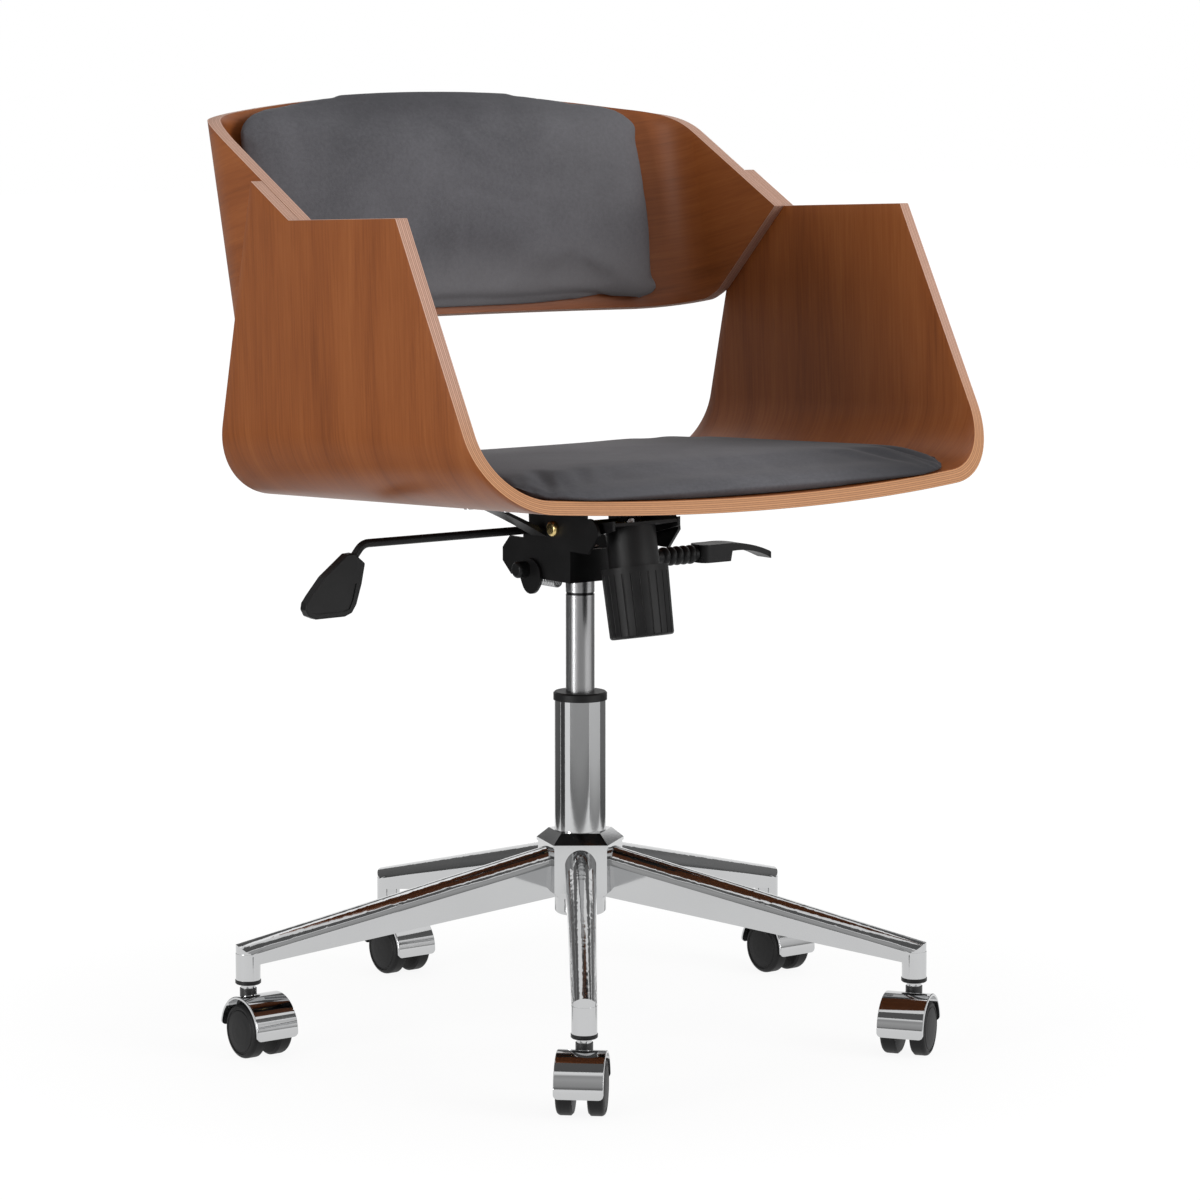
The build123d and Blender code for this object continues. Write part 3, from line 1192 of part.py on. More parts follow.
def band_curve(depth, front):
    """Return the corner points of the band's plan at a depth inside its outer face."""
    back = BAND_BACK_R - depth
    bend = BAND_BEND_R - depth
    turn = radians(BACK_DEG)
    half_turn = radians((BACK_DEG + 90) / 2)
    return {
        "end": (BAND_HALF - depth, front),
        "wall": (BAND_HALF - depth, 0),
        "mid": (BAND_BEND_X + bend * sin(half_turn), bend * cos(half_turn)),
        "join": (back * sin(turn), BACK_V + back * cos(turn)),
        "rear": (0, BACK_V + back),
    }


def draw_band_edge(depth, front):
    """Draw one face line of the band's plan, from the right end to the left end."""
    c = band_curve(depth, front)
    Line(c["end"], c["wall"])
    ThreePointArc(c["wall"], c["mid"], c["join"])
    ThreePointArc(c["join"], c["rear"], mirrored(c["join"]))
    ThreePointArc(mirrored(c["join"]), mirrored(c["mid"]), mirrored(c["wall"]))
    Line(mirrored(c["wall"]), mirrored(c["end"]))


BAND_REACH = -150.0  # past the band's cut ends
HORN_SLOPE = (HORN_TIP_Z - ARM_TOP) / (HORN_TIP_Y - HORN_FOOT_Y)
with BuildPart() as back_shell:
    with BuildSketch(on(BAND, Plane.XY.offset(-BAND_HEEL_DROP))):
        with BuildLine():
            draw_band_edge(0, BAND_REACH)
            draw_band_edge(PLY, BAND_REACH)
            outer = band_curve(0, BAND_REACH)["end"]
            inner = band_curve(PLY, BAND_REACH)["end"]
            Line(outer, inner)
            Line(mirrored(outer), mirrored(inner))
        make_face()
    extrude(amount=FAR)
    with BuildSketch(on(SEAT, Plane.YZ.offset(-FAR))):
        with BuildLine():
            Polyline(
                (HORN_FOOT_Y, ARM_TOP),
                (FAR, ARM_TOP + HORN_SLOPE * (FAR - HORN_FOOT_Y)),
                (FAR, 0),
                (BAND_Y + BAND_HEEL_RUN, 0),
                (BAND_Y + BAND_HEEL_RUN, BAND_Z - BAND_HEEL_DROP),
                (BAND_Y - BAND_HEEL, BAND_Z),
                close=True,
            )
        make_face()
    extrude(amount=2 * FAR, mode=Mode.INTERSECT)
    with BuildSketch(on(SEAT, Plane.XZ.offset(-FAR))):
        with Locations((0, BAND_TOP_Z - BAND_TOP_ARCH_R)):
            Circle(BAND_TOP_ARCH_R)
    extrude(amount=2 * FAR, mode=Mode.INTERSECT)
    with BuildSketch(on(BAND, Plane.XZ.offset(-FAR))):
        with Locations((0, BAND_BOTTOM_RISE - BAND_BOTTOM_ARCH_R)):
            Circle(BAND_BOTTOM_ARCH_R)
    extrude(amount=FAR, mode=Mode.SUBTRACT)
    for hand in (-1, 1):
        with BuildSketch(on(SEAT, Plane.YZ.offset(hand * (BAND_HALF - DOWEL_L / 2 - AIR)))):
            with Locations(*DOWEL_PLACES):
                Circle(DOWEL_D / 2 + SEATED)
        extrude(amount=hand * DOWEL_L, mode=Mode.SUBTRACT)
back_shell.part.label = "back_shell"
export_step(back_shell.part, "parts/back_shell.step")

# Dowels between the band's ends and the arms
with BuildPart() as arm_dowels:
    for hand in (-1, 1):
        with BuildSketch(on(SEAT, Plane.YZ.offset(hand * (BAND_HALF - DOWEL_L / 2)))):
            with Locations(*DOWEL_PLACES):
                Circle(DOWEL_D / 2)
        extrude(amount=hand * DOWEL_L)
arm_dowels.part.label = "arm_dowels"
export_step(arm_dowels.part, "parts/arm_dowels.step")

# Seat pad: a crowned cushion that fills the dish between the bends
PAD_LOW = dish_height(0, PLY)
PAD_LEVELS = (  # share of the thickness, inset from the largest outline
    (-0.07, 15.0),
    (0.16, 6.0),
    (0.42, 0.0),
    (0.62, 1.5),
    (0.78, 8.0),
    (0.9, 23.0),
    (0.96, 48.0),
    (1.0, 100.0),
)
with BuildPart() as seat_pad:
    for share, inset in PAD_LEVELS:
        middle_y = (SEAT_PAD_FRONT + SEAT_PAD_REAR) / 2
        with BuildSketch(on(SEAT, Plane((0, middle_y, PAD_LOW + share * SEAT_PAD_T)))):
            RectangleRounded(
                2 * (SEAT_PAD_HALF - inset),
                SEAT_PAD_REAR - SEAT_PAD_FRONT - 2 * inset,
                SEAT_PAD_CORNER - inset / 3,
            )
    loft(ruled=True)
    with BuildSketch(on(SEAT, Plane.XZ.offset(-FAR))):
        with BuildLine():
            draw_shell_edge(PLY + LAID, ARM_TOP)
            rim = shell_curve(PLY + LAID, ARM_TOP)["top"]
            Line(rim, mirrored(rim))
        make_face()
    extrude(amount=2 * FAR, mode=Mode.INTERSECT)
seat_pad.part.label = "seat_pad"
export_step(seat_pad.part, "parts/seat_pad.step")


def band_face(x, depth):
    """Return how far back the band's face lies at a distance from the centre line."""
    join = band_curve(depth, 0)["join"][0]
    if abs(x) <= join:
        return BACK_V + sqrt((BAND_BACK_R - depth) ** 2 - x**2)
    return sqrt((BAND_BEND_R - depth) ** 2 - (abs(x) - BAND_BEND_X) ** 2)


BACK_PAD_STATIONS = (  # shares of the half width and of the thickness, then of the height: top drop, foot rise
    (0.0, 1.0, 0.0, 0.0),
    (0.45, 0.98, 0.018, -0.004),
    (0.8, 0.88, 0.066, -0.018),
    (0.94, 0.66, 0.124, -0.026),
    (1.0, 0.3, 0.204, 0.026),
)
BACK_PAD_LIP = BACK_PAD_T / 10
BACK_PAD_ROUND = BACK_PAD_T * 0.4
# Back pad: a crowned cushion along the band, lofted across its width
with BuildPart() as back_pad:
    right = list(BACK_PAD_STATIONS)
    left = [(-share, *rest) for share, *rest in reversed(right[1:])]
    for share, swell, top_drop, foot_rise in left + right:
        x = share * BACK_PAD_HALF
        rear = band_face(x, PLY)
        swell = BACK_PAD_T * swell
        top = BACK_PAD_TOP * (1 - top_drop)
        foot = BACK_PAD_BOTTOM + BACK_PAD_TOP * foot_rise
        with BuildSketch(on(BAND, Plane.YZ.offset(x))):
            with BuildLine():
                upper = (rear - swell * 0.75, top - BACK_PAD_ROUND)
                lower = (rear - swell * 0.75, foot + BACK_PAD_ROUND)
                Line((rear, foot + BACK_PAD_LIP), (rear, top - BACK_PAD_LIP))
                ThreePointArc((rear, top - BACK_PAD_LIP), (rear - swell * 0.4, top), upper)
                ThreePointArc(upper, (rear - swell, (top + foot) / 2), lower)
                ThreePointArc(lower, (rear - swell * 0.4, foot), (rear, foot + BACK_PAD_LIP))
            make_face()
    loft()
    with BuildSketch(on(BAND, Plane.XY.offset(-FAR))):
        with BuildLine():
            draw_band_edge(PLY + LAID, -FAR)
            ends = band_curve(PLY + LAID, -FAR)["end"]
            Line(ends, mirrored(ends))
        make_face()
    extrude(amount=2 * FAR, mode=Mode.INTERSECT)
back_pad.part.label = "back_pad"
export_step(back_pad.part, "parts/back_pad.step")
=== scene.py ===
"""Office chair: bent plywood shell with velvet pads, tilt mechanism, gas lift and chrome base."""

import json
import logging
import math
from dataclasses import dataclass, field
from enum import Enum
from typing import Any, Callable, Iterable, Sequence

import bpy
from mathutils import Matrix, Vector


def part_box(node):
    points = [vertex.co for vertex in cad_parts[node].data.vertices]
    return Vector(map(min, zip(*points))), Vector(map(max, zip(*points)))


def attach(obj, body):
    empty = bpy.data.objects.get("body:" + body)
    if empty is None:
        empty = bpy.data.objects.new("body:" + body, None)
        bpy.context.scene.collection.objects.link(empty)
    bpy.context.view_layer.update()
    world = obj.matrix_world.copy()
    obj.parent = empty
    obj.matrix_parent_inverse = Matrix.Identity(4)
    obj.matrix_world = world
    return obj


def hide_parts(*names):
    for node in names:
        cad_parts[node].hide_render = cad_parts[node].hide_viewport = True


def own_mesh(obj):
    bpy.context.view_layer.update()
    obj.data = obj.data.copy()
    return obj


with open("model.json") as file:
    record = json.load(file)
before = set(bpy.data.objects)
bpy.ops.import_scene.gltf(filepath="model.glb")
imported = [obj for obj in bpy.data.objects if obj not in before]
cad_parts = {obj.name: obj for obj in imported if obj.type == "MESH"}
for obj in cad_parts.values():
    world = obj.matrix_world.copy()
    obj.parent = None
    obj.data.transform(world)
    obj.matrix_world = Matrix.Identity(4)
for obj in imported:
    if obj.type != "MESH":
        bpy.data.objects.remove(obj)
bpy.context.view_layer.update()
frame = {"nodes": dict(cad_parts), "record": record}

logging.basicConfig(level=logging.INFO, format="%(message)s")
log = logging.getLogger("chair")

Colour = tuple[float, float, float]
Point = tuple[float, float, float]
Pair = tuple[float, float]

ROUND_ALL_OVER = 180.0  # smoothing angle of a piece without edges, in degrees
SEAT_PAD_HELD = 0.050  # height in the seat's frame below which the seat pad keeps its place
BACK_PAD_HELD = 0.072  # depth in the band's frame behind which the back pad keeps its place


class Body(Enum):
    """Bodies of the frame that the new pieces ride on."""

    SEAT = "seat"
    LIFT = "lift"


class Stretch(Enum):
    """Stretches of a bent sheet, from its middle out to its end."""

    MIDDLE = "middle"
    BEND = "bend"
    WALL = "wall"


class Signal:
    """A number in a shader, with operators that add the Math nodes they stand for."""

    def __init__(self, tree: bpy.types.NodeTree, socket: bpy.types.NodeSocket) -> None:
        """Keep the node tree and the output socket."""
        self.tree = tree
        self.socket = socket

    def _join(self, operation: str, operands: Sequence["Signal | float"]) -> "Signal":
        """Add a Math node.

        Args:
            operation: the Math node's operation.
            operands: signals or plain numbers, in the node's order.

        Returns:
            The result as a new signal.
        """
        node = self.tree.nodes.new("ShaderNodeMath")
        node.operation = operation
        for slot, item in zip(node.inputs, operands):
            if isinstance(item, Signal):
                self.tree.links.new(item.socket, slot)
            else:
                slot.default_value = item
        return Signal(self.tree, node.outputs[0])

    def math(self, operation: str, *others: "Signal | float") -> "Signal":
        """Return an operation on this signal and others."""
        return self._join(operation, (self, *others))

    def __add__(self, other: "Signal | float") -> "Signal":
        """Add."""
        return self.math("ADD", other)

    __radd__ = __add__

    def __sub__(self, other: "Signal | float") -> "Signal":
        """Take away."""
        return self.math("SUBTRACT", other)

    def __rsub__(self, other: float) -> "Signal":
        """Take away from a number."""
        return self._join("SUBTRACT", (other, self))

    def __mul__(self, other: "Signal | float") -> "Signal":
        """Multiply."""
        return self.math("MULTIPLY", other)

    def __truediv__(self, other: "Signal | float") -> "Signal":
        """Divide."""
        return self.math("DIVIDE", other)

    def step(self, low: float, high: float) -> "Signal":
        """Add a smooth rise.

        Args:
            low: the value up to which the result is 0.
            high: the value from which the result is 1.

        Returns:
            The rise as a new signal.
        """
        node = self.tree.nodes.new("ShaderNodeMapRange")
        node.interpolation_type = "SMOOTHSTEP"
        self.tree.links.new(self.socket, node.inputs["Value"])
        node.inputs["From Min"].default_value = low
        node.inputs["From Max"].default_value = high
        return Signal(self.tree, node.outputs["Result"])


class Paint:
    """A material under construction: one Principled shader and the nodes that feed it."""

    def __init__(self, name: str) -> None:
        """Start a material with a bare Principled shader.

        Args:
            name: the material's name.
        """
        self.material = bpy.data.materials.new(name)
        self.material.use_nodes = True
        self.tree = self.material.node_tree
        self.shader = self.tree.nodes["Principled BSDF"]
        self.coords = self.tree.nodes.new("ShaderNodeTexCoord")

    @classmethod
    def reopen(cls, material: bpy.types.Material) -> "Paint":
        """Take up a material that is already made.

        Args:
            material: the material.

        Returns:
            Its paint, with coordinates of its own.
        """
        paint = cls.__new__(cls)
        paint.material = material
        paint.tree = material.node_tree
        paint.shader = paint.tree.nodes["Principled BSDF"]
        paint.coords = paint.tree.nodes.new("ShaderNodeTexCoord")
        return paint

    def node(
        self,
        kind: str,
        settings: dict[str, Any] | None = None,
        inputs: dict[Any, Any] | None = None,
    ) -> Any:
        """Add any node.

        Args:
            kind: the node's type.
            settings: attributes set first; "stops" fills a colour ramp.
            inputs: values, signals or sockets by input name or number.

        Returns:
            The new node.
        """
        node = self.tree.nodes.new(kind)
        for key, value in (settings or {}).items():
            if key == "stops":
                self._fill_ramp(node, value)
            else:
                setattr(node, key, value)
        for key, value in (inputs or {}).items():
            self._feed(node.inputs[key], value)
        return node

    def _fill_ramp(self, node: Any, stops: Sequence[tuple[float, Colour]]) -> None:
        """Set a colour ramp's stops.

        Args:
            node: the ramp's node.
            stops: place and colour of each stop, in order.
        """
        elements = node.color_ramp.elements
        while len(elements) > 1:
            elements.remove(elements[-1])
        elements[0].position = stops[0][0]
        elements[0].color = (*stops[0][1], 1)
        for place, colour in stops[1:]:
            elements.new(place).color = (*colour, 1)

    def _feed(self, slot: bpy.types.NodeSocket, value: Any) -> None:
        """Link or set one input socket.

        Args:
            slot: the input socket.
            value: a signal, an output socket or a plain value.
        """
        if isinstance(value, Signal):
            self.tree.links.new(value.socket, slot)
        elif isinstance(value, bpy.types.NodeSocket):
            self.tree.links.new(value, slot)
        else:
            slot.default_value = value

    def signal(self, node: Any, output: Any = 0) -> Signal:
        """Wrap a node's output."""
        return Signal(self.tree, node.outputs[output])

    def axes(self) -> list[Signal]:
        """Return the x, y and z of the shaded point in the chair's frame."""
        split = self.node("ShaderNodeSeparateXYZ", None, {0: self.coords.outputs["Object"]})
        return [self.signal(split, axis) for axis in "XYZ"]

    def place(self, scale: Point = (1.0, 1.0, 1.0), source: str = "Object") -> Any:
        """Stretch coordinates.

        Args:
            scale: stretch along each axis.
            source: the Texture Coordinate output to read.

        Returns:
            The vector socket.
        """
        inputs = {"Vector": self.coords.outputs[source], "Scale": scale}
        return self.node("ShaderNodeMapping", None, inputs).outputs["Vector"]

    def noise(
        self, where: Any, scale: float, detail: float = 3.0, rough: float = 0.55, twist: float = 0.0
    ) -> Signal:
        """Add a noise.

        Args:
            where: the coordinates' socket.
            scale: lumps per unit.
            detail: number of finer layers.
            rough: share of the finer layers.
            twist: how far the lumps are pulled about.

        Returns:
            A value between 0 and 1.
        """
        inputs = {"Vector": where, "Scale": scale, "Detail": detail, "Roughness": rough, "Distortion": twist}
        return self.signal(self.node("ShaderNodeTexNoise", None, inputs), "Fac")

    def ramp(self, value: Signal, stops: Sequence[tuple[float, Colour]]) -> Any:
        """Return a colour socket that follows a value through stops."""
        return self.node("ShaderNodeValToRGB", {"stops": stops}, {"Fac": value}).outputs["Color"]

    def mix(self, factor: Signal, first: Any, second: Any) -> Any:
        """Mix two colours.

        Args:
            factor: 0 for the first colour, 1 for the second.
            first: a colour or a colour socket.
            second: a colour or a colour socket.

        Returns:
            The mixed colour's socket.
        """
        first = (*first, 1) if isinstance(first, tuple) else first
        second = (*second, 1) if isinstance(second, tuple) else second
        node = self.node("ShaderNodeMix", {"data_type": "RGBA"}, {0: factor, 6: first, 7: second})
        return node.outputs[2]

    def bump(self, height: Signal, strength: float, distance: float) -> None:
        """Feed the shader's normal from a height."""
        inputs = {"Height": height, "Strength": strength, "Distance": distance}
        self._feed(self.shader.inputs["Normal"], self.node("ShaderNodeBump", None, inputs).outputs["Normal"])

    def set(self, **sockets: Any) -> bpy.types.Material:
        """Set shader sockets, written in lower case with underscores.

        Args:
            sockets: values, signals or sockets by name.

        Returns:
            The finished material.
        """
        names = {socket.name.lower().replace(" ", "_"): socket for socket in self.shader.inputs}
        for key, value in sockets.items():
            self._feed(names[key], (*value, 1) if isinstance(value, tuple) and len(value) == 3 else value)
        return self.material


@dataclass(frozen=True)
class Veneer:
    """Lacquered brown veneer, its grain along the first UV axis, in metres."""

    name: str = "walnut_veneer"
    dark: Colour = (0.165, 0.043, 0.009)
    middle: Colour = (0.262, 0.075, 0.017)
    pale: Colour = (0.335, 0.108, 0.028)
    tones: Point = (0.30, 0.50, 0.70)
    band_scale: Point = (1.1, 9.0, 1.0)
    band_share: float = 0.55
    streak_scale: Point = (2.4, 62.0, 1.0)
    streak_edge: Pair = (0.35, 0.70)
    pore_scale: Point = (26.0, 900.0, 1.0)
    pore_edge: Pair = (0.60, 0.70)
    fleck_tint: float = 0.5
    fleck_relief: float = 0.12
    fleck_depth: float = 0.0004
    roughness: float = 0.38
    gloss_spread: float = 0.10
    shine: float = 0.25

    def build(self) -> bpy.types.Material:
        """Lay broad bands, fine streaks and dark pores over each other.

        Returns:
            The material.
        """
        paint = Paint(self.name)
        bands = paint.noise(paint.place(self.band_scale, "UV"), scale=2.2, detail=4.0, rough=0.55, twist=0.7)
        streaks = paint.noise(
            paint.place(self.streak_scale, "UV"), scale=5.0, detail=5.0, rough=0.62, twist=0.15
        )
        pores = paint.noise(paint.place(self.pore_scale, "UV"), scale=1.0, detail=2.0, rough=0.5)
        flecks = pores.step(*self.pore_edge) * streaks.step(*self.streak_edge)
        tone = bands * self.band_share + streaks * (1 - self.band_share)
        colour = paint.ramp(tone, list(zip(self.tones, (self.dark, self.middle, self.pale))))
        colour = paint.mix(flecks * self.fleck_tint, colour, self.dark)
        paint.bump(1 - flecks, self.fleck_relief, self.fleck_depth)
        gloss = streaks * self.gloss_spread + (self.roughness - self.gloss_spread / 2)
        return paint.set(base_color=colour, roughness=gloss, specular_ior_level=self.shine)


@dataclass(frozen=True)
class PlyEdge:
    """Bare cut edge of the plywood, with its plies across the depth attribute."""

    name: str = "ply_edge"
    warm: Colour = (0.62, 0.305, 0.138)
    rosy: Colour = (0.67, 0.415, 0.315)
    glue: Colour = (0.20, 0.085, 0.045)
    plies: int = 7
    wander: float = 0.18
    line_edge: Pair = (0.62, 0.94)
    line_tint: float = 0.85
    rosy_heights: Pair = (0.56, 0.68)
    cross_tint: float = 0.15
    speckle_tint: float = 0.22
    streak_tint: float = 0.14
    speckle_relief: float = 0.4
    line_relief: float = 0.6
    relief: float = 0.2
    relief_depth: float = 0.0005
    roughness: float = 0.55
    gloss_spread: float = 0.15
    shine: float = 0.3

    def build(self) -> bpy.types.Material:
        """Draw the glue lines, darken every second ply and speckle the cut.

        Returns:
            The material.
        """
        paint = Paint(self.name)
        depth = paint.signal(paint.node("ShaderNodeAttribute", {"attribute_name": "ply_depth"}), "Fac")
        place = paint.place()
        speckle = paint.noise(place, scale=420.0, rough=0.6)
        streak = paint.noise(place, scale=60.0, rough=0.6)
        count = depth * float(self.plies) + (streak - 0.5) * self.wander
        line = ((count.math("FRACT") - 0.5).math("ABSOLUTE") * 2.0).step(*self.line_edge)
        cross = count.math("FLOOR").math("MODULO", 2.0)
        _, _, high = paint.axes()
        colour = paint.mix(high.step(*self.rosy_heights), self.warm, self.rosy)
        shade = cross * self.cross_tint + speckle * self.speckle_tint + streak * self.streak_tint
        colour = paint.mix(shade.math("MINIMUM", 1.0), colour, self.glue)
        colour = paint.mix(line * self.line_tint, colour, self.glue)
        relief = speckle * self.speckle_relief - line * self.line_relief
        paint.bump(relief, self.relief, self.relief_depth)
        gloss = self.roughness + speckle * self.gloss_spread
        return paint.set(base_color=colour, roughness=gloss, specular_ior_level=self.shine)


@dataclass(frozen=True)
class LightAndShadePatch:
    """A patch of painted light and shade on the pile: where along an axis it starts and is full, and how
    strongly it shows.
    """

    first: float
    last: float
    tint: float

    def over(self, place: Signal) -> Signal:
        """Return the patch's strength at a place along its axis."""
        return place.step(self.first, self.last) * self.tint


@dataclass(frozen=True)
class Velvet:
    """Short grey pile of random tone, with painted shade in some patches and painted light in others."""

    name: str = "grey_velvet"
    dark: Colour = (0.080, 0.079, 0.087)
    pale: Colour = (0.138, 0.136, 0.149)
    # The next two colours are painted shade and painted light, laid over the pile in patches.
    painted_shade: Colour = (0.026, 0.026, 0.030)
    painted_light: Colour = (0.25, 0.246, 0.253)
    tones: Pair = (0.34, 0.66)
    brushed_share: float = 0.55
    weave_share: float = 0.30
    pile_share: float = 0.15
    seat_top: Pair = (0.60, 0.64)
    # Seat pad: painted shade towards both sides by the arms and more towards +x, painted light towards its
    # rear.
    seat_side_shade: LightAndShadePatch = LightAndShadePatch(0.02, 0.21, 0.48)
    seat_left: LightAndShadePatch = LightAndShadePatch(0.05, 0.22, 0.42)
    seat_rear_light: LightAndShadePatch = LightAndShadePatch(-0.06, 0.14, 0.5)
    # Back pad: painted shade along its top, painted light towards +x and low down.
    back_top: LightAndShadePatch = LightAndShadePatch(0.862, 0.898, 0.40)
    back_left: LightAndShadePatch = LightAndShadePatch(0.02, 0.20, 0.13)
    back_foot_light: Pair = (0.70, 0.77)
    back_foot_light_tint: float = 0.34
    pile_relief: float = 0.6
    weave_relief: float = 0.4
    relief: float = 0.35
    relief_depth: float = 0.0006
    roughness: float = 0.82
    gloss_spread: float = 0.12
    sheen: float = 0.06
    sheen_roughness: float = 0.35
    shine: float = 0.2

    def build(self) -> bpy.types.Material:
        """Paint shade and light on the pile in patches, by where they lie on the two pads.

        Returns:
            The material.
        """
        paint = Paint(self.name)
        brushed = paint.noise(paint.place(), scale=7.0, detail=4.0, rough=0.6, twist=0.8)
        weave = paint.noise(paint.place(), scale=260.0, rough=0.65)
        pile = paint.noise(paint.place(), scale=900.0, detail=2.0, rough=0.6)
        tone = brushed * self.brushed_share + weave * self.weave_share + pile * self.pile_share
        colour = paint.ramp(tone, list(zip(self.tones, (self.dark, self.pale))))
        x, y, high = paint.axes()
        seat = 1 - high.step(*self.seat_top)
        # Painted shade: darker towards the seat pad's sides, most towards +x, and along the back pad's top.
        aside = self.seat_side_shade.over(x.math("ABSOLUTE")) + self.seat_left.over(x)
        colour = paint.mix(seat * aside + self.back_top.over(high), colour, self.painted_shade)
        # Painted light: paler towards the seat pad's rear, and on the back pad low down and towards +x.
        back_painted_light = (1 - high.step(*self.back_foot_light)) * self.back_foot_light_tint + self.back_left.over(x)
        painted_light = seat * self.seat_rear_light.over(y) + (1 - seat) * back_painted_light
        colour = paint.mix(painted_light, colour, self.painted_light)
        relief = pile * self.pile_relief + weave * self.weave_relief
        paint.bump(relief, self.relief, self.relief_depth)
        return paint.set(
            base_color=colour,
            roughness=self.roughness + weave * self.gloss_spread,
            sheen_weight=self.sheen,
            sheen_roughness=self.sheen_roughness,
            specular_ior_level=self.shine,
        )


@dataclass(frozen=True)
class Chrome:
    """Bright plated metal with faint polishing marks."""

    name: str = "chrome"
    colour: Colour = (0.56, 0.565, 0.57)
    roughness: float = 0.05
    grain: Point = (60.0, 60.0, 60.0)
    dim: float = 0.94
    haze_gloss: float = 0.05
    relief: float = 0.015
    relief_depth: float = 0.0003

    def build(self) -> bpy.types.Material:
        """Lay a faint haze and polishing marks over the metal.

        Returns:
            The material.
        """
        paint = Paint(self.name)
        haze = paint.noise(paint.place(), scale=22.0, detail=4.0, rough=0.6)
        marks = paint.noise(paint.place(self.grain), scale=6.0, rough=0.6)
        tint = paint.mix(haze, tuple(c * self.dim for c in self.colour), self.colour)
        paint.bump(marks, self.relief, self.relief_depth)
        gloss = haze * self.haze_gloss + self.roughness
        return paint.set(base_color=tint, metallic=1.0, roughness=gloss)


@dataclass(frozen=True)
class CasterHood(Chrome):
    """Chrome hood of a caster, its stem boss left as black plastic."""

    name: str = "caster_chrome"
    legs: int = 5
    leg_reach: float = 0.332
    boss_r: float = 0.0082
    boss_blur: float = 0.0001
    boss_roughness: float = 0.38
    black: Colour = (0.008, 0.008, 0.0085)

    def build(self) -> bpy.types.Material:
        """Blacken a small circle round each caster's stem.

        Returns:
            The material.
        """
        material = super().build()
        paint = Paint.reopen(material)
        x, y, _ = paint.axes()
        sector = 2 * math.pi / self.legs
        angle = x.math("ARCTAN2", y) + sector / 2
        aside = angle.math("FLOORED_MODULO", sector) - sector / 2
        reach = (x * x + y * y).math("SQRT")
        along = reach * aside.math("COSINE") - self.leg_reach
        across = reach * aside.math("SINE")
        away = (along * along + across * across).math("SQRT")
        boss = 1 - away.step(self.boss_r - self.boss_blur, self.boss_r)
        tint = paint.shader.inputs["Base Color"].links[0].from_socket
        return paint.set(
            base_color=paint.mix(boss, tint, self.black),
            metallic=1 - boss,
            roughness=boss * self.boss_roughness + self.roughness,
        )


@dataclass(frozen=True)
class GrooveShadedSteel(Chrome):
    """Satin steel of the gas cylinder, with painted shade in the groove round it."""

    name: str = "cylinder_steel"
    groove: Pair = (0.4242, 0.4266)
    blur: float = 0.0002
    # colour of the painted shade inside the groove
    shade: Colour = (0.035, 0.035, 0.036)

    def build(self) -> bpy.types.Material:
        """Paint shade on the metal between the groove's two heights.

        Returns:
            The material.
        """
        material = super().build()
        paint = Paint.reopen(material)
        _, _, high = paint.axes()
        low, top = self.groove
        # Painted shade: the metal darkens inside the groove.
        inside = high.step(low - self.blur, low) * (1 - high.step(top, top + self.blur))
        tint = paint.shader.inputs["Base Color"].links[0].from_socket
        return paint.set(base_color=paint.mix(inside, tint, self.shade))


@dataclass(frozen=True)
class Moulded:
    """Black plastic or powder coat with a fine grain."""

    name: str = "black_plastic"
    colour: Colour = (0.007, 0.007, 0.0073)
    roughness: float = 0.42
    grain: float = 900.0
    depth: float = 0.00025
    relief: float = 0.25
    dust_gain: float = 1.7
    dust_lift: float = 0.002
    dust_edge: Pair = (0.35, 0.85)
    dust_tint: float = 0.6
    gloss_spread: float = 0.14
    shine: float = 0.22

    def build(self) -> bpy.types.Material:
        """Grain the surface and lay a little dust on it.

        Returns:
            The material.
        """
        paint = Paint(self.name)
        grain = paint.noise(paint.place(), scale=self.grain, detail=2.0, rough=0.5)
        dust = paint.noise(paint.place(), scale=35.0, detail=4.0, rough=0.6)
        pale = tuple(c * self.dust_gain + self.dust_lift for c in self.colour)
        colour = paint.mix(dust.step(*self.dust_edge) * self.dust_tint, self.colour, pale)
        paint.bump(grain, self.relief, self.depth)
        gloss = dust * self.gloss_spread + (self.roughness - self.gloss_spread / 2)
        return paint.set(base_color=colour, roughness=gloss, specular_ior_level=self.shine)


@dataclass(frozen=True)
class PlainWood:
    """Pale turned wood of the hidden dowels."""

    name: str = "beech"
    dark: Colour = (0.42, 0.27, 0.15)
    pale: Colour = (0.60, 0.43, 0.27)
    tones: Pair = (0.3, 0.7)
    grain: Point = (200.0, 900.0, 900.0)
    roughness: float = 0.6

    def build(self) -> bpy.types.Material:
        """Streak the wood along its grain.

        Returns:
            The material.
        """
        paint = Paint(self.name)
        fleck = paint.noise(paint.place(self.grain), scale=1.0, rough=0.6)
        colour = paint.ramp(fleck, list(zip(self.tones, (self.dark, self.pale))))
        return paint.set(base_color=colour, roughness=self.roughness)


@dataclass(frozen=True)
class Tilted:
    """A frame in the chair's side plane: an origin and a lean about X, in degrees."""

    origin: Point
    lean: float

    def world(self, x: float, y: float, z: float) -> Point:
        """Carry a point from this frame to the chair's frame.

        Args:
            x: the point's place across the chair.
            y: its place along this frame's depth.
            z: its place along this frame's height.

        Returns:
            The point in the chair's frame.
        """
        turn = math.radians(self.lean)
        s, c = math.sin(turn), math.cos(turn)
        return (x + self.origin[0], self.origin[1] + y * c + z * s, self.origin[2] - y * s + z * c)

    def local(self, point: Sequence[float]) -> Point:
        """Carry a point from the chair's frame to this frame.

        Args:
            point: the point in the chair's frame.

        Returns:
            The point in this frame.
        """
        turn = math.radians(self.lean)
        s, c = math.sin(turn), math.cos(turn)
        y, z = point[1] - self.origin[1], point[2] - self.origin[2]
        return (point[0] - self.origin[0], y * c - z * s, y * s + z * c)


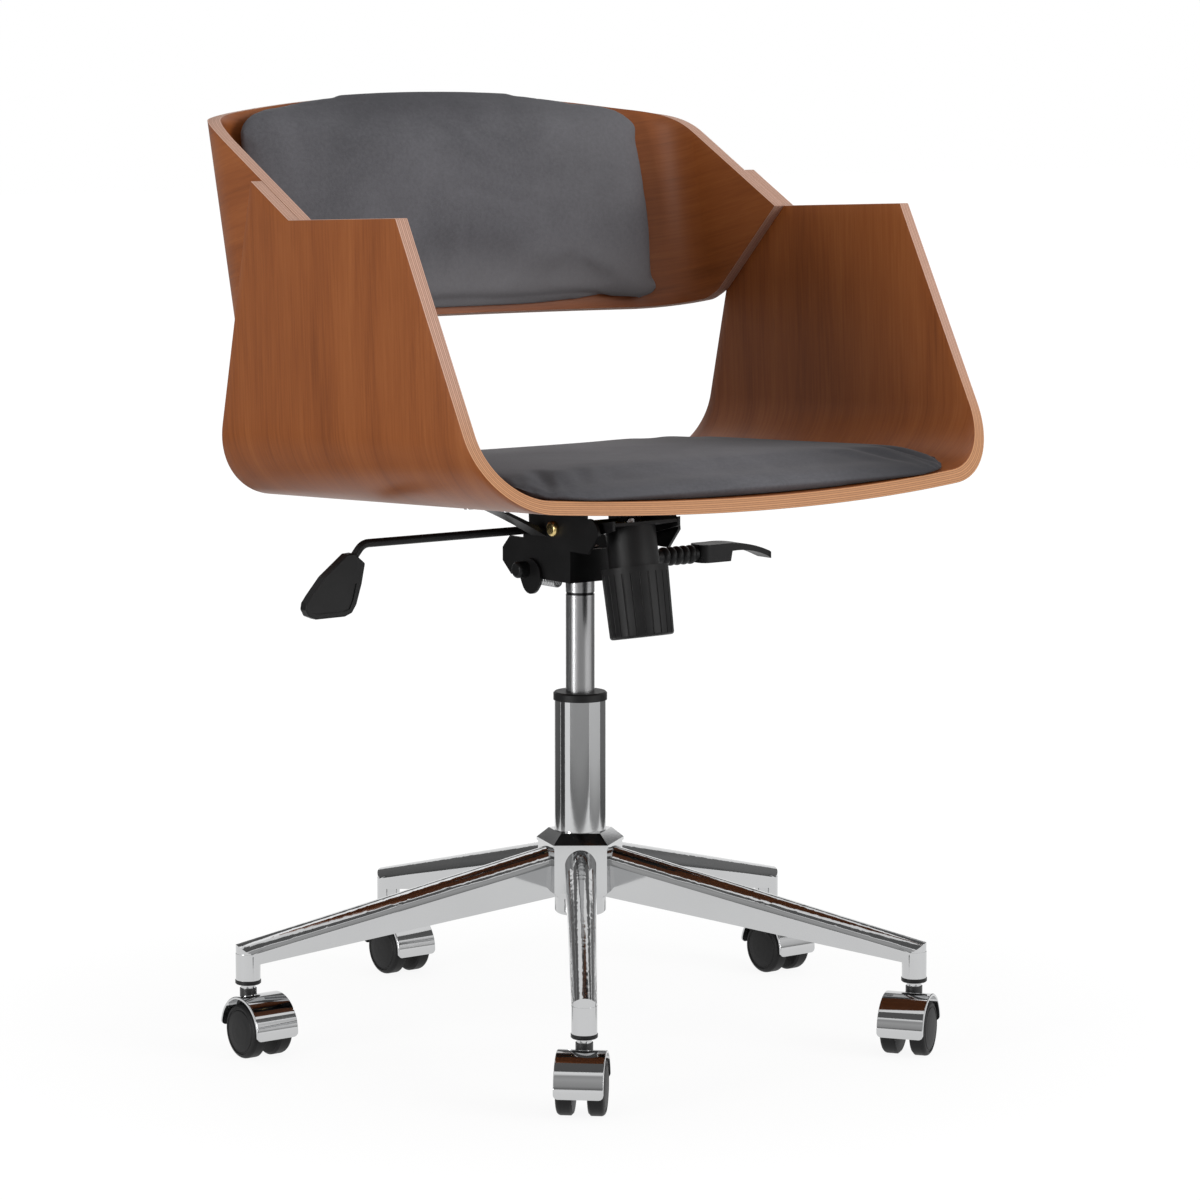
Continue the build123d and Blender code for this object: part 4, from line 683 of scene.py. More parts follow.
SEAT = Tilted((0.0, -0.025, 0.493), 2.45)


def clear_selection() -> None:
    """Leave edit mode and deselect everything."""
    if bpy.context.object and bpy.context.object.mode != "OBJECT":
        bpy.ops.object.mode_set(mode="OBJECT")
    bpy.ops.object.select_all(action="DESELECT")


def pick(piece: bpy.types.Object) -> None:
    """Select one piece alone and make it active.

    Args:
        piece: the object.
    """
    clear_selection()
    piece.select_set(True)
    bpy.context.view_layer.objects.active = piece


def settle(piece: bpy.types.Object) -> None:
    """Take a piece's place, turn and scale over into its mesh."""
    pick(piece)
    bpy.ops.object.transform_apply(location=True, rotation=True, scale=True)


def finish_modifier(piece: bpy.types.Object, kind: str, **settings: Any) -> None:
    """Add a modifier to a piece and apply it.

    Args:
        piece: the object.
        kind: the modifier's type.
        settings: the modifier's attributes.
    """
    pick(piece)
    modifier = piece.modifiers.new(kind.lower(), kind)
    for key, value in settings.items():
        setattr(modifier, key, value)
    bpy.ops.object.modifier_apply(modifier=modifier.name)


def smooth(piece: bpy.types.Object, angle: float) -> None:
    """Shade a piece smooth across edges flatter than an angle in degrees."""
    pick(piece)
    bpy.ops.object.shade_smooth_by_angle(angle=math.radians(angle))


def christen(name: str) -> bpy.types.Object:
    """Name the active object and its mesh.

    Args:
        name: the name of both.

    Returns:
        The object.
    """
    piece = bpy.context.object
    piece.name = name
    piece.data.name = name
    return piece


def span(first: float, last: float, count: int) -> list[float]:
    """Return evenly spaced numbers, both ends included."""
    return [first + (last - first) * i / (count - 1) for i in range(count)]


def grid_sheet(name: str, columns: int, rows: int) -> bpy.types.Object:
    """Add a flat grid, to be bent into a sheet.

    Args:
        name: the object's name.
        columns: number of points along the first axis.
        rows: number of points along the second axis.

    Returns:
        The grid object, its points in rows of one column count each.
    """
    clear_selection()
    bpy.ops.mesh.primitive_grid_add(
        x_subdivisions=columns - 1, y_subdivisions=rows - 1, size=2, location=(0, 0, 0)
    )
    return christen(name)


@dataclass
class BentSheet:
    """A plywood strip bent along one line, as a grid that gets its thickness afterwards."""

    name: str
    ply: float = 0.0125
    edge_round: float = 0.0009
    edge_angle: float = 45.0
    smooth_angle: float = 35.0

    def lay_out(
        self, turn: float, steps: tuple[int, int, int], wall_end: float, hand: int
    ) -> list[tuple[int, Stretch, float]]:
        """List the points along the bent line.

        Args:
            turn: angle at which the middle goes over into the bend.
            steps: number of steps in the middle, the bend and the wall of one half.
            wall_end: value at the end of the wall, which starts at 0.
            hand: side of the last half, 1 or -1.

        Returns:
            Side, stretch and value of each point, from one end to the other.
        """
        middle, bend, wall = steps
        sweep = math.pi / 2 - turn
        half = [(Stretch.MIDDLE, turn * i / middle) for i in range(middle)]
        half += [(Stretch.BEND, turn + sweep * i / bend) for i in range(bend)]
        half += [(Stretch.WALL, wall_end * i / wall) for i in range(wall + 1)]
        return [(-hand, *item) for item in reversed(half[1:])] + [(hand, *item) for item in half]

    def bend(
        self,
        line: int,
        rows: Sequence[float],
        spot: Callable[[int, float, float], Point],
        skins: Sequence[bpy.types.Material],
    ) -> bpy.types.Object:
        """Build the strip as two faces and a rim.

        Args:
            line: number of points along the bent line.
            rows: place of each row across the strip, from 0 to 1.
            spot: gives the chair-frame point for a column, a row's place and a depth from 0 to 1.
            skins: the veneer of the faces, then the bare plies of the rim.

        Returns:
            The solid strip, with UVs in metres along and across the line and a ply_depth attribute.
        """
        piece = grid_sheet(self.name, line, len(rows))
        mesh = piece.data
        for skin in skins:
            mesh.materials.append(skin)
        flat = [(i % line, rows[i // line]) for i in range(len(mesh.vertices))]
        columns = [float(column) for column, _ in flat]
        mesh.attributes.new("column", "FLOAT", "POINT").data.foreach_set("value", columns)
        mesh.attributes.new("row", "FLOAT", "POINT").data.foreach_set("value", [row for _, row in flat])
        mesh.vertices.foreach_set("co", [n for column, row in flat for n in spot(column, row, 0.0)])
        self._lay_uv(mesh, line, rows, spot)
        mesh.update()
        finish_modifier(
            piece, "SOLIDIFY", thickness=self.ply, offset=-1.0, use_even_offset=True, material_offset_rim=1
        )
        self._set_inner(piece, len(flat), spot)
        return piece

    def _lay_uv(self, mesh: Any, line: int, rows: Sequence[float], spot: Callable[..., Point]) -> None:
        """Write UVs in metres: along the bent line, then across it.

        Args:
            mesh: the strip's mesh, still without thickness.
            line: number of points along the bent line.
            rows: place of each row across the strip.
            spot: gives the chair-frame point for a column, a row's place and a depth.
        """
        middle = rows[len(rows) // 2]
        along = [0.0]
        for column in range(1, line):
            along.append(along[-1] + math.dist(spot(column - 1, middle, 0.0), spot(column, middle, 0.0)))
        across = [self.across(vertex.co) for vertex in mesh.vertices]
        layer = mesh.uv_layers.active.data
        for loop in mesh.loops:
            layer[loop.index].uv = (along[loop.vertex_index % line], across[loop.vertex_index])

    def across(self, point: Sequence[float]) -> float:
        """Return how far across the grain a point lies."""
        return point[1]

    def _set_inner(self, piece: bpy.types.Object, count: int, spot: Callable[..., Point]) -> None:
        """Place the inner face's points exactly and note the depth of every point.

        Args:
            piece: the strip with its thickness.
            count: number of points of its outer face, which come first.
            spot: gives the chair-frame point for a column, a row's place and a depth.
        """
        mesh = piece.data
        columns = [item.value for item in mesh.attributes["column"].data]
        rows = [item.value for item in mesh.attributes["row"].data]
        depth = [0.0 if index < count else 1.0 for index in range(len(mesh.vertices))]
        points = [n for c, r, d in zip(columns, rows, depth) for n in spot(round(c), r, d)]
        mesh.vertices.foreach_set("co", points)
        mesh.attributes.new("ply_depth", "FLOAT", "POINT").data.foreach_set("value", depth)
        mesh.update()

    def dress(self, piece: bpy.types.Object) -> None:
        """Take off the sharp edges and shade the bends smooth.

        Args:
            piece: the strip with its thickness.
        """
        limit = math.radians(self.edge_angle)
        finish_modifier(
            piece, "BEVEL", width=self.edge_round, segments=2, limit_method="ANGLE", angle_limit=limit
        )
        smooth(piece, self.smooth_angle)


@dataclass
class SeatShell(BentSheet):
    """Seat pan and both arms, one bent strip: a shallow dish, two bends and two walls."""

    name: str = "seat_shell_ply"
    arm_half: float = 0.300
    bend_r: float = 0.071
    dish_r: float = 3.0
    pan_z: float = 0.027
    arm_top: float = 0.298
    edge_z: float = 0.036
    front_y: float = -0.2685
    front_side_y: float = -0.248
    front_slope: float = 0.5
    rear_slope: float = 0.28
    horn_foot_y: float = 0.0575
    horn_tip_y: float = 0.120
    horn_tip_z: float = 0.335
    horn_rounds: int = 30
    steps: tuple[int, int, int] = (36, 22, 14)
    front_rows: int = 22
    horn_rows: int = 10

    def __post_init__(self) -> None:
        """Work out the bend's centre and the points of the section."""
        self.bend_x = self.arm_half - self.bend_r
        self.dish_z = self.pan_z + self.dish_r
        self.bend_z = self.dish_z - math.sqrt((self.dish_r - self.bend_r) ** 2 - self.bend_x**2)
        dish_turn = math.asin(self.bend_x / (self.dish_r - self.bend_r))
        self.stations = self.lay_out(dish_turn, self.steps, 1.0, 1)

    def across(self, point: Sequence[float]) -> float:
        """Return how far back in the seat a point lies."""
        return SEAT.local(point)[1]

    def front(self, x: float, z: float) -> float:
        """Find the front edge, which is bowed in plan and leans back.

        Args:
            x: the section point's place across the seat.
            z: its height.

        Returns:
            The front edge's place along the seat.
        """
        lean = math.sqrt(1 + self.front_slope**2)
        bow = (self.front_side_y - self.front_y) / lean
        bow_r = (self.arm_half**2 + bow**2) / (2 * bow)
        rise = self.front_slope * (z - self.edge_z)
        return self.front_y + lean * (bow_r - math.sqrt(bow_r**2 - x**2)) + rise

    def rear(self, z: float) -> float:
        """Return where the rear edge lies at a height."""
        return self.horn_tip_y + self.rear_slope * (self.horn_tip_z - z)

    def run(self, x: float, z: float, row: float) -> float:
        """Return the place of a row between the front and rear edges."""
        front = self.front(x, z)
        return front + row * (self.rear(z) - front)

    def foot_row(self) -> float:
        """Return the row that meets the horn's foot."""
        front = self.front(self.arm_half, self.arm_top)
        return (self.horn_foot_y - front) / (self.rear(self.arm_top) - front)

    def top(self, x: float, row: float) -> float:
        """Find the arm's top, which is level and then rises to the horn's tip.

        Args:
            x: the wall's place across the seat.
            row: the row's place, from 0 to 1.

        Returns:
            The top's height.
        """
        if row <= self.foot_row():
            return self.arm_top
        slope = (self.horn_tip_z - self.arm_top) / (self.horn_tip_y - self.horn_foot_y)
        height = self.arm_top
        for _ in range(self.horn_rounds):
            height = self.arm_top + slope * (self.run(x, height, row) - self.horn_foot_y)
        return height

    def spot(self, column: int, row: float, depth: float) -> Point:
        """Find a point of the shell.

        Args:
            column: its number along the section.
            row: its place between the front and rear edges, from 0 to 1.
            depth: 0 on the outer face, 1 on the inner.

        Returns:
            The point in the chair's frame.
        """
        hand, stretch, value = self.stations[column]
        inward = self.ply * depth
        if stretch is Stretch.MIDDLE:
            x = (self.dish_r - inward) * math.sin(value)
            z = self.dish_z - (self.dish_r - inward) * math.cos(value)
        elif stretch is Stretch.BEND:
            x = self.bend_x + (self.bend_r - inward) * math.sin(value)
            z = self.bend_z - (self.bend_r - inward) * math.cos(value)
        else:
            x = self.arm_half - inward
            z = self.bend_z + value * (self.top(x, row) - self.bend_z)
        return SEAT.world(hand * x, self.run(x, z, row), z)

    def build(self, faces: bpy.types.Material, edges: bpy.types.Material) -> bpy.types.Object:
        """Bend and dress the shell.

        Args:
            faces: the veneer.
            edges: the bare plies.

        Returns:
            The shell, which replaces its plain solid.
        """
        foot = self.foot_row()
        rows = span(0, foot, self.front_rows) + span(foot, 1, self.horn_rows)[1:]
        piece = self.bend(len(self.stations), rows, self.spot, (faces, edges))
        self.dress(piece)
        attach(piece, Body.SEAT.value)
        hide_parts("seat_shell")
        return piece


@dataclass
class BackBand(BentSheet):
    """Back band: a bent strip that leans back, its ends cut against the arms."""

    name: str = "back_band_ply"
    foot_y: float = 0.1535
    foot_z: float = 0.2146
    lean: float = 11.15
    half: float = 0.28745
    bend_r: float = 0.080
    back_r: float = 1.5
    top_z: float = 0.4175
    top_arch_r: float = 1.610
    bottom_arch_r: float = 5.300
    bottom_rise: float = 0.001
    tip: Pair = (0.0575, 0.298)
    tip_slope: float = 0.592
    tip_share: float = 0.999
    slope_reach: float = 0.1
    heel: Pair = (-0.00294, -0.00058)
    toe: Pair = (0.01973, -0.00702)
    soften: float = 0.016
    steps: tuple[int, int, int] = (34, 22, 22)
    rows: int = 18

    def __post_init__(self) -> None:
        """Work out the bend's centre, the cut ends and the points of the plan."""
        origin = SEAT.world(0, self.foot_y, self.foot_z)
        self.stand = Tilted(origin, SEAT.lean + self.lean)
        self.bend_x = self.half - self.bend_r
        self.back_v = -math.sqrt((self.back_r - self.bend_r) ** 2 - self.bend_x**2)
        _, self.tip_v, self.tip_w = self.stand.local(SEAT.world(0, *self.tip))
        y, z = self.tip[0] + self.slope_reach, self.tip[1] + self.slope_reach * self.tip_slope
        _, ahead_v, ahead_w = self.stand.local(SEAT.world(0, y, z))
        self.slant = (ahead_w - self.tip_w) / (ahead_v - self.tip_v)
        back_turn = math.asin(self.bend_x / (self.back_r - self.bend_r))
        self.stations = self.lay_out(back_turn, self.steps, self.tip_v * self.tip_share, -1)

    def across(self, point: Sequence[float]) -> float:
        """Return how high on the band a point lies."""
        return self.stand.local(point)[2]

    def plan(self, stretch: Stretch, value: float, inward: float) -> Pair:
        """Find a plan point across the lean.

        Args:
            stretch: the stretch of the band that it lies on.
            value: its angle in the back or a bend, or its place along a wall.
            inward: its depth inside the outer face.

        Returns:
            The point's place across the chair and along the band's depth.
        """
        if stretch is Stretch.MIDDLE:
            reach = self.back_r - inward
            return reach * math.sin(value), self.back_v + reach * math.cos(value)
        if stretch is Stretch.BEND:
            reach = self.bend_r - inward
            return self.bend_x + reach * math.sin(value), reach * math.cos(value)
        return self.half - inward, value

    def top(self, x: float, v: float) -> float:
        """Find the top edge: the arch, eased into the slant towards the arm.

        Args:
            x: place across the chair.
            v: place along the band's depth.

        Returns:
            The edge's height on the band.
        """
        arch_z = self.top_z - self.top_arch_r + math.sqrt(self.top_arch_r**2 - x**2)
        drop = math.radians(self.lean)
        arch = (arch_z - self.foot_z + math.sin(drop) * v) / math.cos(drop)
        slant = self.tip_w + self.slant * (v - self.tip_v)
        blend = max(self.soften - abs(arch - slant), 0.0) / self.soften
        return min(arch, slant) - blend * blend * self.soften / 4

    def bottom(self, x: float, v: float) -> float:
        """Find the bottom edge: a low arch, eased up to the heel, then the cut to the arm's tip.

        Args:
            x: place across the chair.
            v: place along the band's depth.

        Returns:
            The edge's height on the band.
        """
        heel_v, heel_w = self.heel
        if v < heel_v:
            return heel_w + (self.tip_w - heel_w) * (heel_v - v) / (heel_v - self.tip_v)
        arch = self.bottom_rise - self.bottom_arch_r + math.sqrt(self.bottom_arch_r**2 - x**2)
        toe_v, toe_w = self.toe
        return max(arch, heel_w + (toe_w - heel_w) * (v - heel_v) / (toe_v - heel_v))

    def spot(self, column: int, row: float, depth: float) -> Point:
        """Find a point of the band.

        Args:
            column: its number along the plan.
            row: its place between the bottom and top edges, from 0 to 1.
            depth: 0 on the outer face, 1 on the inner.

        Returns:
            The point in the chair's frame.
        """
        hand, stretch, value = self.stations[column]
        x, v = self.plan(stretch, value, self.ply * depth)
        low, high = self.bottom(x, v), self.top(x, v)
        return self.stand.world(hand * x, v, low + row * (high - low))

    def build(self, faces: bpy.types.Material, edges: bpy.types.Material) -> bpy.types.Object:
        """Bend and dress the band.

        Args:
            faces: the veneer.
            edges: the bare plies.

        Returns:
            The band, which replaces its plain solid.
        """
        piece = self.bend(len(self.stations), span(0, 1, self.rows), self.spot, (faces, edges))
        self.dress(piece)
        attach(piece, Body.SEAT.value)
        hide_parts("back_shell")
        return piece


@dataclass
class Cushion:
    """An upholstered pad, swollen by cloth pressure from a slightly smaller closed form."""

    name: str
    node: str
    held: Callable[[Sequence[float]], bool]
    shrink: float = 0.004
    cap: float = 0.006
    fill: float = 0.75
    merge: float = 0.0001
    voxel: float = 0.005
    pressure: float = 4.0
    quality: int = 6
    frames: int = 20
    ease: float = 0.5
    blank_rounds: int = 4
    swell_rounds: int = 3

    def build(self, cover: bpy.types.Material) -> bpy.types.Object:
        """Make the pad and cover it.

        Args:
            cover: the fabric material.

        Returns:
            The pad, which replaces its plain solid.
        """
        piece = self._blank()
        self._swell(piece)
        finish_modifier(piece, "SUBSURF", levels=1, render_levels=1)
        piece.data.materials.clear()
        piece.data.materials.append(cover)
        smooth(piece, ROUND_ALL_OVER)
        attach(piece, Body.SEAT.value)
        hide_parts(self.node)
        return piece

    def _blank(self) -> bpy.types.Object:
        """Copy the plain solid, merge it, remesh it evenly and draw it in a little.

        Returns:
            The pad before it is swollen.
        """
        source = frame["nodes"][self.node]
        clear_selection()
        piece = source.copy()
        piece.data = source.data.copy()
        piece.name = self.name
        piece.data.name = self.name
        piece.parent = None
        bpy.context.collection.objects.link(piece)
        piece.hide_render = False
        piece.hide_set(False)
        pick(piece)
        bpy.ops.object.mode_set(mode="EDIT")
        bpy.ops.mesh.select_all(action="SELECT")
        bpy.ops.mesh.remove_doubles(threshold=self.merge)
        bpy.ops.object.mode_set(mode="OBJECT")
        finish_modifier(piece, "REMESH", mode="VOXEL", voxel_size=self.voxel, use_smooth_shade=True)
        finish_modifier(piece, "SMOOTH", factor=self.ease, iterations=self.blank_rounds)
        mesh = piece.data
        inset = [vertex.co - vertex.normal * self.shrink for vertex in mesh.vertices]
        for vertex, place in zip(mesh.vertices, inset):
            if not self.held(vertex.co):
                vertex.co = place
        mesh.update()
        return piece

    def _swell(self, piece: bpy.types.Object) -> None:
        """Blow the pad up as cloth, then cap how far any point moved.

        Args:
            piece: the drawn-in pad.
        """
        start = [vertex.co.copy() for vertex in piece.data.vertices]
        group = piece.vertex_groups.new(name="held")
        group.add([v.index for v in piece.data.vertices if self.held(v.co)], 1.0, "REPLACE")
        pick(piece)
        cloth = piece.modifiers.new("cloth", "CLOTH")
        cloth.settings.use_pressure = True
        cloth.settings.uniform_pressure_force = self.pressure
        cloth.settings.effector_weights.gravity = 0
        cloth.settings.vertex_group_mass = "held"
        cloth.settings.quality = self.quality
        cloth.point_cache.frame_start = 1
        cloth.point_cache.frame_end = self.frames
        scene = bpy.context.scene
        for number in range(1, self.frames + 1):
            scene.frame_set(number)
        bpy.ops.object.modifier_apply(modifier="cloth")
        scene.frame_set(1)
        for vertex, place in zip(piece.data.vertices, start):
            move = vertex.co - place
            if move.length > self.cap:
                vertex.co = place + move.normalized() * self.cap
        piece.vertex_groups.clear()
        piece.data.update()
        finish_modifier(piece, "SMOOTH", factor=self.ease, iterations=self.swell_rounds)


@dataclass
class TensionCoil:
    """Coil spring inside the tension knob, wound at one length, though the real spring shortens as the seat
    tilts.
    """

    name: str = "tension_coil"
    node: str = "tension_spring"
    lean: float = math.radians(10.5)
    length: float = 0.0812
    radius: float = 0.0159
    wire: float = 0.0029
    wire_sides: int = 12
    turns: int = 9
    turn_steps: int = 28
    keep: float = 0.835

    def build(self, steel: bpy.types.Material) -> bpy.types.Object:
        """Wind the spring and set it in its place along the bolt.

        Args:
            steel: the wire's material.

        Returns:
            The spring, which replaces its plain sleeve.
        """
        low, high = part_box(self.node)
        up = Vector((0, math.sin(self.lean), math.cos(self.lean)))
        top = (low + high) / 2 + up * (self.length / 2)
        piece = self._wind()
        piece.rotation_euler = (-self.lean, 0, 0)
        piece.location = top - up * (self.length - self.wire)
        settle(piece)
        piece.data.materials.append(steel)
        smooth(piece, ROUND_ALL_OVER)
        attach(piece, Body.LIFT.value)
        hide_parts(self.node)
        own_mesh(piece)
        return piece

    def _wind(self) -> bpy.types.Object:
        """Sweep the wire's section round the axis and close its ends.

        Returns:
            The coil, standing on the origin.
        """
        clear_selection()
        bpy.ops.mesh.primitive_circle_add(
            vertices=self.wire_sides,
            radius=self.wire,
            fill_type="NOTHING",
            location=(0, 0, 0),
            rotation=(math.pi / 2, 0, 0),
        )
        piece = christen(self.name)
        piece.location = (self.radius, 0, 0)
        settle(piece)
        pitch = (self.length - 2 * self.wire) / self.turns
        finish_modifier(
            piece,
            "SCREW",
            screw_offset=pitch,
            iterations=self.turns,
            steps=self.turn_steps,
            render_steps=self.turn_steps,
        )
        bpy.ops.object.mode_set(mode="EDIT")
        bpy.ops.mesh.select_all(action="SELECT")
        bpy.ops.mesh.fill_holes(sides=0)
        bpy.ops.mesh.select_all(action="SELECT")
        bpy.ops.mesh.normals_make_consistent(inside=False)
        bpy.ops.object.mode_set(mode="OBJECT")
        return piece


@dataclass(frozen=True)
class Card:
    """A grey card, which only polished surfaces see.

    Its ends are bearings from the camera's side in degrees. Its light is a share of the rise from
    the floor up, and its top is the brightness above the seat.
    """

    name: str
    first: float
    last: float
    light: float
    top: float


@dataclass(frozen=True)
class Ring:
    """A flat ring below the seat, which only polished surfaces see: its height and brightness."""

    name: str
    height: float
    tone: float


@dataclass(frozen=True)
class SoftBox:
    """A square lamp: its place, its side and its power in watts."""

    name: str
    place: Point
    size: float
    watts: float


@dataclass
class Studio:
    """Camera, floor, world, cards and lamps."""

    distance: float = 4.1216
    height: float = 0.9543
    azimuth: float = -36.6
    pitch: float = 7.41
    aside: float = 0.2651
    lens: float = 129.687
    sensor: float = 36.0
    sight: float = 60.0
    floor_size: float = 40.0
    floor_tone: Colour = (0.75, 0.75, 0.75)
    floor_bounce: Colour = (0.24, 0.24, 0.24)
    floor_roughness: float = 0.7
    floor_shine: float = 0.1
    floor_glow: float = 1.05
    shadow: float = 0.86
    shadow_reach: Pair = (0.3, 1.1)
    world_light: float = 0.55
    card_distance: float = 0.8
    card_height: float = 1.3
    card_lift: float = 0.05
    card_rise: tuple[Pair, ...] = ((0.0, 0.13), (0.06, 0.37), (0.20, 0.48), (0.32, 0.36))
    card_end: float = 0.40
    card_set: tuple[Card, ...] = (
        Card("front_card", -46, 40, 1.0, 1.0),
        Card("right_card", 41, 97, 1.75, 1.0),
        Card("left_card", -96, -71, 0.10, 0.28),
        Card("left_rear_card", -150, -98, 0.24, 0.28),
        Card("right_rear_card", 98, 150, 0.38, 1.0),
    )
    ring_r: Pair = (0.37, 0.64)
    ring_sides: int = 48
    ring_set: tuple[Ring, ...] = (Ring("canopy_under", 0.476, 0.09), Ring("canopy_top", 0.480, 0.35))
    lamp_aim: Point = (0.0, 0.0, 0.6)
    lamp_set: tuple[SoftBox, ...] = (
        SoftBox("key_box", (-4.0, -0.6, 0.6), 1.4, 84),
        SoftBox("fill_box", (1.6, -3.7, 1.5), 2.2, 96),
        SoftBox("top_box", (0.3, 1.2, 3.6), 2.6, 8),
    )

    def camera(self) -> None:
        """Stand the camera where the photograph was taken from."""
        turn = math.radians(self.azimuth)
        place = (self.distance * math.sin(turn), -self.distance * math.cos(turn), self.height)
        clear_selection()
        bpy.ops.object.camera_add(
            location=place,
            rotation=(math.radians(90 - self.pitch), 0, math.radians(self.azimuth - self.aside)),
        )
        camera = bpy.context.object
        camera.name = "photo_camera"
        camera.data.sensor_width = self.sensor
        camera.data.lens = self.lens
        camera.data.clip_end = self.sight
        bpy.context.scene.camera = camera

    def _seen(self, tree: bpy.types.NodeTree, rays: Any) -> Signal:
        """Tell the rays that show the white surroundings from those that only light the chair.

        Args:
            tree: the node tree.
            rays: its Light Path node.

        Returns:
            1 for camera, glossy and transmission rays, else 0.
        """
        seen = Signal(tree, rays.outputs["Is Camera Ray"])
        for kind in ("Is Glossy Ray", "Is Transmission Ray"):
            seen = seen.math("MAXIMUM", Signal(tree, rays.outputs[kind]))
        return seen

    def floor(self) -> None:
        """Lay a wide pale floor that goes over into the white surroundings."""
        clear_selection()
        bpy.ops.mesh.primitive_plane_add(size=self.floor_size, location=(0, 0, 0))
        floor = bpy.context.object
        floor.name = "studio_floor"
        paint = Paint("studio_floor")
        tree = paint.tree
        rays = paint.node("ShaderNodeLightPath")
        bounce = paint.mix(paint.signal(rays, "Is Diffuse Ray"), self.floor_tone, self.floor_bounce)
        paint.set(base_color=bounce, roughness=self.floor_roughness, specular_ior_level=self.floor_shine)
        glow = paint.node("ShaderNodeEmission", None, {"Color": (1, 1, 1, 1), "Strength": self.floor_glow})
        spot = {0: paint.coords.outputs["Object"]}
        away = paint.signal(paint.node("ShaderNodeVectorMath", {"operation": "LENGTH"}, spot), "Value")
        share = away.step(*self.shadow_reach) * (1 - self.shadow) + self.shadow
        shaders = {0: self._seen(tree, rays) * share, 1: paint.shader.outputs[0], 2: glow.outputs[0]}
        blend = paint.node("ShaderNodeMixShader", None, shaders)
        tree.links.new(blend.outputs[0], tree.nodes["Material Output"].inputs["Surface"])
        floor.data.materials.append(paint.material)

    def cards(self) -> None:
        """Stand the grey cards round the chair and hang the rings below its seat."""
        for card in self.card_set:
            self._card(card)
        for ring in self.ring_set:
            self._ring(ring)

    def _card(self, card: Card) -> None:
        """Stand one card.

        Args:
            card: its bearings and brightness.
        """
        bearing = math.radians(self.azimuth + (card.first + card.last) / 2)
        width = 2 * self.card_distance * math.tan(math.radians(card.last - card.first) / 2)
        clear_selection()
        bpy.ops.mesh.primitive_plane_add(size=1, location=(0, 0, 0), rotation=(math.pi / 2, 0, bearing))
        sheet = bpy.context.object
        sheet.name = card.name
        sheet.scale = (width, self.card_height, 1)
        sheet.location = (
            self.card_distance * math.sin(bearing),
            -self.card_distance * math.cos(bearing),
            self.card_height / 2 + self.card_lift,
        )
        settle(sheet)
        paint = Paint(card.name)
        _, _, high = paint.axes()
        stops = [(place, (min(tone * card.light, 1.0),) * 3) for place, tone in self.card_rise]
        stops.append((self.card_end, (card.top,) * 3))
        grey = paint.ramp((high - self.card_lift) / self.card_height, stops)
        self._unseen(sheet, paint, grey)

    def _ring(self, ring: Ring) -> None:
        """Hang one ring.

        Args:
            ring: its height and brightness.
        """
        inner, outer = self.ring_r
        clear_selection()
        bpy.ops.mesh.primitive_circle_add(
            vertices=self.ring_sides, radius=outer, fill_type="NOTHING", location=(0, 0, 0)
        )
        sheet = bpy.context.object
        sheet.name = ring.name
        bpy.ops.object.mode_set(mode="EDIT")
        bpy.ops.mesh.select_all(action="SELECT")
        bpy.ops.mesh.extrude_edges_move()
        bpy.ops.transform.resize(value=(inner / outer, inner / outer, 1))
        bpy.ops.object.mode_set(mode="OBJECT")
        sheet.location = (0, 0, ring.height)
        settle(sheet)
        self._unseen(sheet, Paint(ring.name), (ring.tone,) * 3)

    def _unseen(self, sheet: bpy.types.Object, paint: Paint, light: Any) -> None:
        """Let a sheet glow for polished surfaces without being seen or casting light or shade.

        Args:
            sheet: the card or ring.
            paint: its paint.
            light: the colour, or colour socket, of its glow.
        """
        glow = paint.set(base_color=(0, 0, 0), emission_color=light, emission_strength=1.0)
        sheet.data.materials.append(glow)
        sheet.visible_camera = False
        sheet.visible_diffuse = False
        sheet.visible_shadow = False

    def world(self) -> None:
        """Surround the chair with white, brighter to the camera and to metal than to the light."""
        world = bpy.data.worlds.new("studio_world")
        bpy.context.scene.world = world
        world.use_nodes = True
        tree = world.node_tree
        back = tree.nodes["Background"]
        back.inputs["Color"].default_value = (1, 1, 1, 1)
        seen = self._seen(tree, tree.nodes.new("ShaderNodeLightPath"))
        strength = seen * (1 - self.world_light) + self.world_light
        tree.links.new(strength.socket, back.inputs["Strength"])

    def lamps(self) -> None:
        """Hang the soft boxes, each facing the seat."""
        for box in self.lamp_set:
            clear_selection()
            aim = Vector(self.lamp_aim) - Vector(box.place)
            turn = aim.to_track_quat("-Z", "Y").to_euler()
            bpy.ops.object.light_add(type="AREA", location=box.place, rotation=turn)
            lamp = bpy.context.object
            lamp.name = box.name
            lamp.data.shape = "SQUARE"
            lamp.data.size = box.size
            lamp.data.energy = box.watts

    def build(self) -> None:
        """Set up everything around the chair."""
        self.camera()
        self.floor()
        self.cards()
        self.world()
        self.lamps()
        bpy.context.scene.view_settings.view_transform = "Standard"


